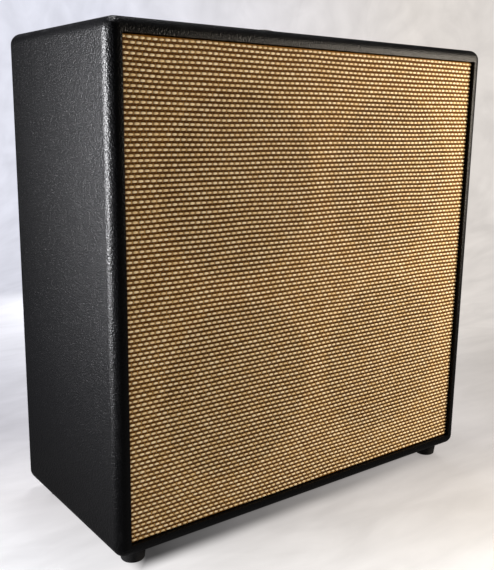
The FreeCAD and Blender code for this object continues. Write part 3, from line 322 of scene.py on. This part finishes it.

# %% Painted fold shade and finish of the sheet
FOLD_HEADINGS, FOLD_STRETCH = (-70, -15), (3.2, 8.0, 4.0)
FOLD_SCALE, FOLD_DETAIL, FOLD_DISTORTION = 1.3, 5.0, 1.2
FOLD_SPAN, FOLD_SHADE_TONES = (0.7, 1.3), (0.92, 1.1)
DEPTH_SPAN, SIDE_SPAN = (-0.4, 2.2), (-0.7, 0.7)
# Tones along the view, darker around and behind the box's base as a painted shade; the tints across
# are painted light, cool at the left and warm at the right
NEAR_TONE, FAR_TONE = "#ffffff", "#e8e8ed"
TONES_WITH_BASE_SHADE = ((0.1, "#e6e3e2"), (0.22, "#c9c7ca"), (0.45, "#d3d2d6"))
LEFT_LIGHT_TINT, RIGHT_LIGHT_TINT, LIT_TONE = "#f5f7ff", "#f3ece1", "#e9e8e8"
GLOW, MIRRORED_GLOW = 1.14, 0.22
GLOW_SHARE, MIRRORED_GLOW_SHARE = 0.86, 1.0


def painted_fold_shade(tree, where):
    """Painted fold shade: lighter and darker streaks from two noises, each drawn out along its own
    heading.
    """
    pulls = []
    for heading in FOLD_HEADINGS:
        pulled = stretched(tree, where, FOLD_STRETCH, math.radians(heading))
        pull = noise(tree, pulled, FOLD_SCALE, FOLD_DETAIL, Distortion=FOLD_DISTORTION)
        pulls.append(pull["Fac"])
    return remap(tree, calc(tree, "ADD", *pulls), FOLD_SPAN, FOLD_SHADE_TONES)


sheet_white, tree, shader = new_finish("white_backdrop_cloth", Roughness=0.9)
place = object_place(tree)
shadow = floor_shadow(tree, place)
# Painted shade and light: the ramp darkens the sheet around the box's base, and the tints paint a
# cool light at the left and a warm one at the right
depth = vector_calc(tree, "DOT_PRODUCT", place, level_ahead)
ramp = add_node(tree, "ShaderNodeValToRGB", {0: remap(tree, depth, DEPTH_SPAN)})
for stop, code in TONES_WITH_BASE_SHADE:
    ramp.color_ramp.elements.new(stop).color = hue(code)
ramp.color_ramp.elements[0].color = hue(NEAR_TONE)
ramp.color_ramp.elements[-1].color = hue(FAR_TONE)
across = remap(tree, vector_calc(tree, "DOT_PRODUCT", place, level_right), SIDE_SPAN)
shaded_and_tinted = vector_calc(tree, "MULTIPLY", ramp.outputs[0],
                     between(tree, across, LEFT_LIGHT_TINT, RIGHT_LIGHT_TINT))
# Painted shade: the fold streaks and the painted shadow around the box darken the glow
shading = calc(tree, "MULTIPLY", painted_fold_shade(tree, place), shadow)
feed(tree, shader, {"Base Color": scaled(tree, hue(LIT_TONE)[:3], shadow)})
mirrored = add_node(tree, "ShaderNodeLightPath").outputs["Is Glossy Ray"]
glow = add_node(tree, "ShaderNodeEmission",
                {"Color": scaled(tree, shaded_and_tinted, shading),
                 "Strength": remap(tree, mirrored, target=(GLOW, MIRRORED_GLOW))})
share = remap(tree, mirrored, target=(GLOW_SHARE, MIRRORED_GLOW_SHARE))
both = add_node(tree, "ShaderNodeMixShader", {0: share, 1: shader.outputs[0], 2: glow.outputs[0]})
feed(tree, tree.nodes["Material Output"], {"Surface": both.outputs[0]})

# %% Floor and wall in one sweep
FLOOR_FRONT, FLOOR_BACK, FLOOR_SIDE, WALL_TOP = -1.6, 2.2, 1.5, 1.7
COVE, COVE_STEPS = 0.9, 12
profile = [(FLOOR_FRONT, 0.0), (FLOOR_BACK - COVE, 0.0)]
for angle in quarter_angles(COVE_STEPS):
    profile.append((FLOOR_BACK - COVE + COVE * math.sin(angle), COVE - COVE * math.cos(angle)))
profile.append((FLOOR_BACK, WALL_TOP))
sweep_turn = Matrix.Rotation(-YAW, 3, "Z")
verts = [sweep_turn @ Vector((side * FLOOR_SIDE, y, z)) for y, z in profile for side in (-1, 1)]
faces = [(2 * k, 2 * k + 1, 2 * k + 3, 2 * k + 2) for k in range(len(profile) - 1)]
floor = mesh_piece("floor_sweep", verts, faces, sheet_white)
print("floor sweep of", len(faces), "faces")

# %% [markdown]
# ## Black vinyl
# The covering is embossed vinyl cloth: small flat pebbles with creases between them. It is nearly
# black, and what the eye sees is mostly soft reflection from the pebbles. The pattern could be an
# image, but a Voronoi texture gives pebbles at any distance. Real pebbles are about 1.5 mm, less
# than a pixel here, so they are drawn at 2.2 mm. Edges and corners rub against door frames, so a
# mask on the box's own edges lightens them in patches.

# %% Vinyl
PEBBLE_SIZE, PEBBLE_ROUGH, EMBOSS_DEPTH = 2.2 * MM, (0.32, 0.44), 0.68 * MM
FINE_SIZE, FINE_DETAIL, FINE_SHARE = 1.4 * MM, 3.0, 0.35
DRIFT_SIZE, DRIFT_DETAIL, DRIFT_SHARE = 9 * MM, 2.0, 0.0016
PATCH_SIZE, PATCH_DETAIL, PATCH_SPAN = 28 * MM, 5.0, (0.5, 0.72)
WEAR_FADE = (-9 * MM, -3 * MM)
TOP_BLACK, SHADED_CREASE_BLACK, WORN_BLACK = "#080809", "#030304", "#1e1e1f"
black_vinyl, tree, shader = new_finish("embossed_black_vinyl", IOR=1.5, Specular_IOR_Level=0.12)
place = object_place(tree)
drift = noise(tree, place, 1 / DRIFT_SIZE, DRIFT_DETAIL)["Color"]
drifted = add_node(tree, "ShaderNodeMix", {"Factor": DRIFT_SHARE, 4: place, 5: drift},
                   data_type="VECTOR").outputs[1]
pebble = add_node(tree, "ShaderNodeTexVoronoi", {"Vector": drifted, "Scale": 1 / PEBBLE_SIZE},
                  feature="SMOOTH_F1").outputs
fine = noise(tree, place, 1 / FINE_SIZE, FINE_DETAIL)["Fac"]
height = calc(tree, "MULTIPLY_ADD", fine, FINE_SHARE, pebble["Distance"])
emboss = add_node(tree, "ShaderNodeBump",
                  {"Height": height, "Strength": 1.0, "Distance": EMBOSS_DEPTH}, invert=True)
past = past_box(tree, place)
low_pair = calc(tree, "MINIMUM", past[0], past[1])
high_pair = calc(tree, "MAXIMUM", past[0], past[1])
edge = calc(tree, "MAXIMUM", low_pair, calc(tree, "MINIMUM", high_pair, past[2]))
patches = noise(tree, place, 1 / PATCH_SIZE, PATCH_DETAIL)["Fac"]
wear = calc(tree, "MULTIPLY", remap(tree, edge, WEAR_FADE), remap(tree, patches, PATCH_SPAN))
# Painted shade: the creases between the pebbles are painted darker than their tops
crease_shaded = between(tree, height, TOP_BLACK, SHADED_CREASE_BLACK)
feed(tree, shader, {"Base Color": between(tree, wear, crease_shaded, WORN_BLACK),
                    "Roughness": remap(tree, pebble["Color"], target=PEBBLE_ROUGH),
                    "Normal": emboss.outputs[0]})
print("vinyl for a box of", [round(2 * v, 3) for v in covering_half])

# %% [markdown]
# ## Mottled finishes
# Paint, rubber, moulded plastic, paper and plated steel look alike in one way: their colour and
# gloss drift between two tones over grains of some size. One function makes them all, and each
# line says what the surface is, how large its grain is, and how rough. A stretched grain gives the
# fibres of wood.

# %% Mottled finishes
GRAIN_DETAIL, GRAIN_ROUGHNESS, GRAIN_SPAN = 4.0, 0.6, (0.3, 0.7)
FIBRES_ALONG_X = (0.06, 1.0, 1.0)


def mottled(name, dark, light, grain, rough, bump=0.0, stretch=None, **fixed):
    """Two tones over grains, with the gloss drifting along. Grain and bump are in millimetres."""
    material, tree, shader = new_finish(name, **fixed)
    where = object_place(tree)
    if stretch:
        where = stretched(tree, where, stretch)
    grains = noise(tree, where, 1 / (grain * MM), GRAIN_DETAIL, Roughness=GRAIN_ROUGHNESS)["Fac"]
    tone = remap(tree, grains, GRAIN_SPAN)
    feed(tree, shader, {"Base Color": between(tree, tone, dark, light),
                        "Roughness": remap(tree, tone, target=rough)})
    if bump:
        relief = add_node(tree, "ShaderNodeBump", {"Height": tone, "Distance": bump * MM})
        feed(tree, shader, {"Normal": relief.outputs[0]})
    return material


finishes = {
    "black_vinyl": black_vinyl,
    # Rotary-cut birch, sanded: pale, with long faint fibres
    "birch_plywood": mottled("birch_plywood", "#b98f5c", "#d9b98a", grain=5, rough=(0.5, 0.7),
                             bump=0.05, stretch=FIBRES_ALONG_X),
    # The same board rolled with thin matt black paint, so the fibres still show
    "painted_plywood": mottled("black_painted_plywood", "#0f0f10", "#1d1c1b", grain=5,
                               rough=(0.65, 0.85), bump=0.06, stretch=FIBRES_ALONG_X),
    # Planed spruce: straighter and more yellow than birch
    "softwood_batten": mottled("planed_spruce", "#b78b55", "#d8b57f", grain=4, rough=(0.55, 0.75),
                               bump=0.06, stretch=FIBRES_ALONG_X),
    # Nylon hooks and loops: a dull black pile
    "hook_and_loop": mottled("nylon_hook_and_loop", "#0b0b0c", "#232325", grain=0.8,
                             rough=(0.85, 1.0), bump=0.4),
    # Moulded natural rubber: grey bloom over black
    "black_rubber": mottled("moulded_rubber", "#070708", "#131314", grain=6, rough=(0.6, 0.85),
                            bump=0.08, IOR=1.52),
    # Zinc plate: bluish bright steel with a fine spangle
    "zinc_steel": mottled("zinc_plated_steel", "#8d9093", "#b9bbbb", grain=1.5,
                          rough=(0.28, 0.42), bump=0.01, Metallic=1.0),
    # Black oxide: steel under a thin oiled film
    "black_steel": mottled("black_oxide_steel", "#17181a", "#2d2e30", grain=1.2,
                           rough=(0.3, 0.48), bump=0.01, Metallic=0.7),
    # Nickel plate: warmer than chrome and a little soft
    "nickel_steel": mottled("nickel_plated_steel", "#b9b4a8", "#d3cfc4", grain=2.5,
                            rough=(0.16, 0.28), Metallic=1.0),
    # Vinyl moulded over a steel band, with a leather-like grain
    "moulded_strap": mottled("grained_strap_vinyl", "#111112", "#28282a", grain=1.6,
                             rough=(0.42, 0.6), bump=0.2, IOR=1.5),
    # ABS from a spark-eroded mould: an even fine matt grain
    "black_plastic": mottled("textured_abs", "#131315", "#242527", grain=0.9, rough=(0.45, 0.6),
                             bump=0.06, IOR=1.53),
    # Glass-filled nylon: darker and glossier
    "jack_plastic": mottled("glass_filled_nylon", "#121213", "#1f1f20", grain=1.2,
                            rough=(0.25, 0.4), bump=0.02, IOR=1.53),
    # Pressed cork and card
    "gasket_card": mottled("pressed_cork", "#6b5138", "#9c7d57", grain=2.0, rough=(0.8, 0.95),
                           bump=0.2),
    # Sintered ferrite, ground flat
    "ferrite": mottled("sintered_ferrite", "#26272a", "#3b3c40", grain=2.0, rough=(0.4, 0.6),
                       bump=0.03),
    # Phenolic board: brown resin over paper
    "brown_board": mottled("phenolic_board", "#4a2a12", "#6e421f", grain=3.0, rough=(0.35, 0.5),
                           bump=0.02),
    # PVC insulation, extruded
    "lead_insulation": mottled("red_pvc_insulation", "#6e1410", "#8b1d17", grain=4.0,
                               rough=(0.35, 0.5), bump=0.02),
    # Stamped steel with baked grey paint
    "painted_basket": mottled("baked_grey_paint", "#3c3e42", "#54575b", grain=1.2,
                              rough=(0.45, 0.62), bump=0.05),
    # Paper dipped in tacky dope
    "doped_edge": mottled("doped_paper", "#1b1917", "#33302b", grain=2.2, rough=(0.4, 0.65),
                          bump=0.1),
    # Open cotton weave stiffened with phenolic resin
    "spider_cloth": mottled("resin_dipped_cotton", "#a5783c", "#c69a58", grain=0.8,
                            rough=(0.7, 0.9), bump=0.15),
    # Felted wood pulp dyed grey-black
    "cone_paper": mottled("pulp_cone_paper", "#1f1e1d", "#3a3836", grain=3.5, rough=(0.75, 0.95),
                          bump=0.12),
    # The same pulp pressed smooth
    "cap_paper": mottled("pressed_cap_paper", "#201f1e", "#33312f", grain=2.5, rough=(0.65, 0.85),
                         bump=0.06),
    # Enamelled copper wire on a brown former
    "copper_coil": mottled("enamelled_copper", "#8a4a22", "#b9693a", grain=0.7, rough=(0.3, 0.45),
                           bump=0.05, Metallic=0.9),
}

# %% Put the finishes on the solids
slot_of = {row["node"]: row["material_slot"] for row in frame["record"]["subparts"]}
for node, solid in frame["nodes"].items():
    if slot_of[node] in finishes:
        solid.material_slots[0].material = finishes[slot_of[node]]
print(len(finishes), "finishes on", len(frame["nodes"]), "solids")

# %% [markdown]
# ## Grille cloth
# The cloth is stretched over a frame of rails, turned round its edges and stapled behind, so it is
# made as one sheet with that wrap. It is the dark ground of the weave. A loose drape would need a
# simulation, but a stretched cloth is flat, so the sheet is built ring by ring from the solid's
# own box. The four round openings behind it get a painted shade on the sheet: slightly darker
# discs, which the finish draws from the distance to the nearest centre.

# %% Ground finish
OPENING_RADIUS, OPENING_BLUR = 140 * MM, 9 * MM
FUZZ_SIZE, FUZZ_DETAIL = 1.5 * MM, 3.0
GROUND_DARK, GROUND_LIGHT, GROUND_LEAST = "#3c220a", "#5f3c16", 0.7
OPENING_SHADE_TONE, HEM_TONE = "#140900", "#94601c"
HEM_START, HEM_END = 5 * MM, 3 * MM
unit_low, unit_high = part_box("basket_upper_right")
unit_centre = (unit_low + unit_high) / 2
cloth_low, cloth_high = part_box("grille_cloth")
half_x, half_z = (cloth_high.x - cloth_low.x) / 2, (cloth_high.z - cloth_low.z) / 2


def opening_shade(tree, where, least):
    """Painted shade: one away from the openings behind the cloth, and less in front of them."""
    from_middle = vector_calc(tree, "SUBTRACT", where, (0, 0, covering_middle.z))
    folded = vector_calc(tree, "ABSOLUTE", from_middle)
    centre = (unit_centre.x, 0, unit_centre.z - covering_middle.z)
    apart = vector_calc(tree, "SUBTRACT", folded, centre)
    away = vector_calc(tree, "LENGTH", vector_calc(tree, "MULTIPLY", apart, (1, 0, 1)))
    rim = (OPENING_RADIUS - OPENING_BLUR, OPENING_RADIUS + OPENING_BLUR)
    return remap(tree, away, rim, (least, 1), "SMOOTHSTEP")


ground_cloth, tree, shader = new_finish("dark_ground_yarn", Roughness=0.9, Specular_IOR_Level=0.1)
place = object_place(tree)
fuzz = noise(tree, place, 1 / FUZZ_SIZE, FUZZ_DETAIL)["Fac"]
# Painted shade: the ground turns nearly black in front of the openings behind it
opening_shaded_ground = between(tree, opening_shade(tree, place, GROUND_LEAST), OPENING_SHADE_TONE,
                 between(tree, fuzz, GROUND_DARK, GROUND_LIGHT))
height = axes(tree, vector_calc(tree, "SUBTRACT", place, covering_middle))["Z"]
hem = remap(tree, calc(tree, "ABSOLUTE", height), (half_z - HEM_START, half_z - HEM_END))
feed(tree, shader, {"Base Color": between(tree, hem, opening_shaded_ground, HEM_TONE)})

# %% Sheet round the frame
GROUND_DEPTH, EDGE_ROUND, EDGE_STEPS, FOLD, SIDE_STEPS = 0.8 * MM, 1.5 * MM, 4, 21 * MM, 24
cloth_front, cloth_middle = cloth_low.y + GROUND_DEPTH, (cloth_low.z + cloth_high.z) / 2
behind = cloth_high.y - cloth_front
rings = [(-EDGE_ROUND, 0.0)]
for angle in quarter_angles(EDGE_STEPS):
    rings.append((EDGE_ROUND * (math.sin(angle) - 1), EDGE_ROUND * (1 - math.cos(angle))))
rings += [(0.0, behind), (-FOLD, behind)]
ticks = [-1 + 2 * k / SIDE_STEPS for k in range(SIDE_STEPS)]
around = [(x, -1) for x in ticks] + [(1, z) for z in ticks]
around += [(-x, -z) for x, z in around]
verts = []
for grow, back in rings:
    verts += [(x * (half_x + grow), cloth_front + back, cloth_middle + z * (half_z + grow))
              for x, z in around]
faces = faces_between(len(rings), len(around), closed=False)
faces.append(tuple(reversed(range(len(around)))))
cloth = mesh_piece("grille_cloth_ground", verts, faces, ground_cloth)
turn_faces_out(cloth)
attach(cloth, "cabinet")
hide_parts("grille_cloth")

# %% [markdown]
# ## The weave
# A thick cream yarn runs across and passes over and under thin brown warp yarns, and each row is
# shifted by half a step, so each row looks like a rope of bright beads in a brick pattern. One
# could draw that, but real threads catch the light from the side. Geometry Nodes repeat one small
# rounded float on a grid, bend the grid a little, as hand-stretched cloth does, and carry the row
# ends round the edge of the frame. The same tree makes the brown warp ticks with other sizes.

# %% A tree that lays floats on a grid
SWAY_SIZE, SWAY_DETAIL, SWAY_MIDDLE = 170 * MM, 1.0, 0.5
SOCKETS = [("Columns", "Int"), ("Rows", "Int"), ("Column pitch", "Float"), ("Row pitch", "Float"),
           ("Shift", "Float"), ("Rise", "Float"), ("Float length", "Float"),
           ("Float depth", "Float"), ("Float height", "Float"), ("Wander", "Float"),
           ("Seed", "Int"), ("Finish", "Material")]
weave = bpy.data.node_groups.new("woven_floats", "GeometryNodeTree")
weave.interface.new_socket("Geometry", in_out="OUTPUT", socket_type="NodeSocketGeometry")
socket_of = {}
for name, kind in SOCKETS:
    socket = weave.interface.new_socket(name, in_out="INPUT", socket_type=f"NodeSocket{kind}")
    socket_of[name] = socket.identifier
given = add_node(weave, "NodeGroupInput").outputs


def point_place():
    """Where a point lies at that step of the tree."""
    return add_node(weave, "GeometryNodeInputPosition").outputs[0]


counts = joined(weave, given["Columns"], given["Rows"])
pitches = joined(weave, given["Column pitch"], given["Row pitch"])
steps = vector_calc(weave, "SUBTRACT", counts, (1, 1, 0))
extent = axes(weave, vector_calc(weave, "MULTIPLY", steps, pitches))
grid = add_node(weave, "GeometryNodeMeshGrid",
                {"Size X": extent[0], "Size Y": extent[1],
                 "Vertices X": given["Columns"], "Vertices Y": given["Rows"]})
spot = vector_calc(weave, "ADD", point_place(), joined(weave, given["Shift"], given["Rise"]))
flat = axes(weave, spot)
sway = noise(weave, spot, 1 / SWAY_SIZE, SWAY_DETAIL)[0]
tilt = calc(weave, "SUBTRACT", sway, SWAY_MIDDLE)
bowed = calc(weave, "MULTIPLY_ADD", tilt, given["Wander"], flat[1])
laid = add_node(weave, "GeometryNodeSetPosition",
                {"Geometry": grid.outputs["Mesh"], "Position": joined(weave, flat[0], 0.0, bowed),
                 "Offset": (0, cloth_front, cloth_middle)})

# %% One float, repeated with small differences
BALL = {"Segments": 8, "Rings": 4, "Radius": 0.5}
UNEVEN_LEAST, UNEVEN_MOST = (0.93, 0.85, 0.9), (1.05, 1.1, 1.08)
ball = add_node(weave, "GeometryNodeMeshUVSphere", BALL)
lying = add_node(weave, "GeometryNodeTransform",
                 {"Geometry": ball.outputs["Mesh"], "Rotation": (0, math.pi / 2, 0)})
from_middle = calc(weave, "ABSOLUTE", axes(weave, point_place())[0])
dip = calc(weave, "MULTIPLY", from_middle, 1 / BALL["Radius"])
marked = add_node(weave, "GeometryNodeStoreNamedAttribute",
                  {"Geometry": lying.outputs[0], "Name": "yarn_dip", "Value": dip},
                  data_type="FLOAT")
shape = joined(weave, given["Float length"], given["Float depth"], given["Float height"])
one = add_node(weave, "GeometryNodeTransform", {"Geometry": marked.outputs[0], "Scale": shape})
uneven = add_node(weave, "FunctionNodeRandomValue",
                  {0: UNEVEN_LEAST, 1: UNEVEN_MOST, "Seed": given["Seed"]},
                  data_type="FLOAT_VECTOR")
many = add_node(weave, "GeometryNodeInstanceOnPoints",
                {"Points": laid.outputs[0], "Instance": one.outputs[0], "Scale": uneven.outputs[0]})
tone = add_node(weave, "FunctionNodeRandomValue", {2: 0.0, 3: 1.0, "Seed": given["Seed"]},
                data_type="FLOAT")
toned = add_node(weave, "GeometryNodeStoreNamedAttribute",
                 {"Geometry": many.outputs[0], "Name": "yarn_tone", "Value": tone.outputs[1]},
                 data_type="FLOAT", domain="INSTANCE")
real = add_node(weave, "GeometryNodeRealizeInstances", {"Geometry": toned.outputs[0]})

# %% Row ends go round the frame's edge
point = axes(weave, point_place())
over = calc(weave, "SUBTRACT", calc(weave, "ABSOLUTE", point[0]), half_x)
proud = calc(weave, "SUBTRACT", half_x + cloth_front, point[1])
side_x = calc(weave, "MULTIPLY", proud, calc(weave, "SIGN", point[0]))
back_y = calc(weave, "ADD", over, cloth_front)
past_edge = add_node(weave, "FunctionNodeCompare", {0: over, 1: 0.0},
                     operation="GREATER_THAN").outputs[0]
bent = add_node(weave, "GeometryNodeSetPosition",
                {"Geometry": real.outputs[0], "Selection": past_edge,
                 "Position": joined(weave, side_x, back_y, point[2])})
smooth = add_node(weave, "GeometryNodeSetShadeSmooth", {"Geometry": bent.outputs[0]})
dressed = add_node(weave, "GeometryNodeSetMaterial",
                   {"Geometry": smooth.outputs[0], "Material": given["Finish"]})
add_node(weave, "NodeGroupOutput", {"Geometry": dressed.outputs[0]})
print("weave tree of", len(weave.nodes), "nodes")

# %% [markdown]
# ### Yarn finishes
# The cream yarn is paper-like cane fibre in a plastic sheath: pale, slightly glossy, and a little
# different from dash to dash. The warp is plain brown cotton. Both read the tone that the tree
# stored on each float, and both get a painted shade, browner and darker, where the yarn dips under
# the next one, and a dimmer one in front of the openings.

# %% Yarns
STREAK_SIZE, STREAK_DETAIL, STREAK_STRETCH = 1.2 * MM, 2.0, (0.25, 1.0, 1.0)
STREAK_GAIN, STREAK_SHIFT = 0.5, -0.25
# Painted shade where a yarn dips under the next one
DIP_SPAN, DIP_SHADE_TONE = (0.3, 1.0), "#7c5420"


def yarn_finish(name, dark, light, rough, least):
    """A yarn between two tones, with painted shade at its ends, where it dips, and in front of the
    openings.
    """
    material, tree, shader = new_finish(name, Roughness=rough, Sheen_Weight=0.1,
                                        Specular_IOR_Level=0.2)
    where = object_place(tree)
    tone = add_node(tree, "ShaderNodeAttribute", attribute_name="yarn_tone").outputs["Fac"]
    dip = add_node(tree, "ShaderNodeAttribute", attribute_name="yarn_dip").outputs["Fac"]
    fibre = stretched(tree, where, STREAK_STRETCH)
    streak = noise(tree, fibre, 1 / STREAK_SIZE, STREAK_DETAIL)["Fac"]
    streak = calc(tree, "MULTIPLY_ADD", streak, STREAK_GAIN, STREAK_SHIFT)
    colour = between(tree, calc(tree, "ADD", streak, tone, use_clamp=True), dark, light)
    # Painted shade: browner and darker where the yarn dips under, and dimmer in front of the
    # openings
    dip_shaded = between(tree, remap(tree, dip, DIP_SPAN, curve="SMOOTHSTEP"), colour, DIP_SHADE_TONE)
    feed(tree, shader, {"Base Color": scaled(tree, dip_shaded, opening_shade(tree, where, least))})
    return material


cream_yarn = yarn_finish("cream_cane_yarn", "#e2c58f", "#f3dfb5", rough=0.6, least=0.91)
brown_yarn = yarn_finish("brown_cotton_warp", "#76501e", "#a67c3c", rough=0.85, least=0.88)

# %% Lay the rows
ROW_PAIRS, COLUMNS, WANDER = 52, 75, 5 * MM
ROW_PITCH, DASH_PITCH = half_z / ROW_PAIRS, 9.7 * MM
# Length, depth and height of one float, in millimetres
DASH, TICK = (10.8, 2.3, 3.8), (2.2, 1.2, 6.8)
WARP_SEED_STEP = 4


def lay(name, seed, shift, rise, sizes, finish):
    """One set of floats, made a plain mesh."""
    values = {"Columns": COLUMNS, "Rows": ROW_PAIRS, "Column pitch": DASH_PITCH,
              "Row pitch": 2 * ROW_PITCH, "Shift": shift, "Rise": rise,
              "Float length": sizes[0] * MM, "Float depth": sizes[1] * MM,
              "Float height": sizes[2] * MM, "Wander": WANDER, "Seed": seed, "Finish": finish}
    base = bpy.data.objects.new(name + "_base", bpy.data.meshes.new(name + "_base"))
    scene.collection.objects.link(base)
    maker = base.modifiers.new("weave", "NODES")
    maker.node_group = weave
    for label, value in values.items():
        maker[socket_of[label]] = value
    made = base.evaluated_get(bpy.context.evaluated_depsgraph_get())
    mesh = bpy.data.meshes.new_from_object(made)
    bpy.data.objects.remove(base)
    piece = bpy.data.objects.new(name, mesh)
    scene.collection.objects.link(piece)
    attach(piece, "cabinet")
    print(name, len(mesh.polygons), "faces")
    return piece


for label, seed, shift, rise in (("even", 1, 0.0, -ROW_PITCH / 2),
                                 ("odd", 2, DASH_PITCH / 2, ROW_PITCH / 2)):
    lay(f"weft_{label}_rows", seed, shift, rise, DASH, cream_yarn)
    lay(f"warp_{label}_rows", seed + WARP_SEED_STEP, shift - DASH_PITCH / 2, rise,
                       TICK, brown_yarn)

# %% [markdown]
# ## Flexing edges of the drive units
# Each cone hangs on a pleated edge at its rim and a corrugated disc at its neck. When the cone
# moves, their inner rims go with it and their outer rims stay. The solids are rigid, so each is
# made again as a spun profile.

# %% Spin a profile
UNITS = ("upper_left", "upper_right", "lower_left", "lower_right")
SPIN_STEPS = 96
ROLL_SHARES = (0.0, 0.2, 0.4, 0.6, 0.8)
DRIVER_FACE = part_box("basket_upper_left")[0].y


def roll_points(start, end, level, rises):
    """Points along half rolls side by side from one radius to another."""
    points = []
    step = (end - start) / len(rises)
    for k, rise in enumerate(rises):
        for t in ROLL_SHARES:
            points.append((start + step * (k + t), level - rise * math.sin(math.pi * t)))
    return points + [(end, level)]


def flexing(name, unit, radii, level, thickness, rises, slot):
    """A spun skin, in millimetres, that takes the place of the rigid solid."""
    outer, rim, collar, inner = (r * MM for r in radii)
    level, thickness = level * MM, thickness * MM
    rolls = roll_points(rim, collar, level, [rise * MM for rise in rises])
    line = [(outer, level)] + rolls + [(inner, level)]
    outline = line + [(r, y + thickness) for r, y in reversed(line)]
    low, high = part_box(f"basket_{unit}")
    centre = (low + high) / 2
    verts = []
    for step in range(SPIN_STEPS):
        angle = 2 * math.pi * step / SPIN_STEPS
        across, up = math.cos(angle), math.sin(angle)
        verts += [(centre.x + r * across, DRIVER_FACE + y, centre.z + r * up) for r, y in outline]
    faces = faces_between(SPIN_STEPS, len(outline), closed=True)
    piece = mesh_piece(f"{name}_{unit}_flex", verts, faces, finishes[slot])
    turn_faces_out(piece)
    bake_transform(piece)
    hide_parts(f"{name}_{unit}")


# Radii: outer edge, start and end of the rolls, inner edge. Level: behind the basket's front face
for unit in UNITS:
    flexing("surround", unit, radii=(140.5, 134, 124, 118), level=-0.8, thickness=0.8,
            rises=[2.2, 2.2], slot="doped_edge")
    flexing("spider", unit, radii=(65.8, 57, 25.6, 22.8), level=55.3, thickness=0.7,
            rises=[1.6, -1.6] * 4, slot="spider_cloth")
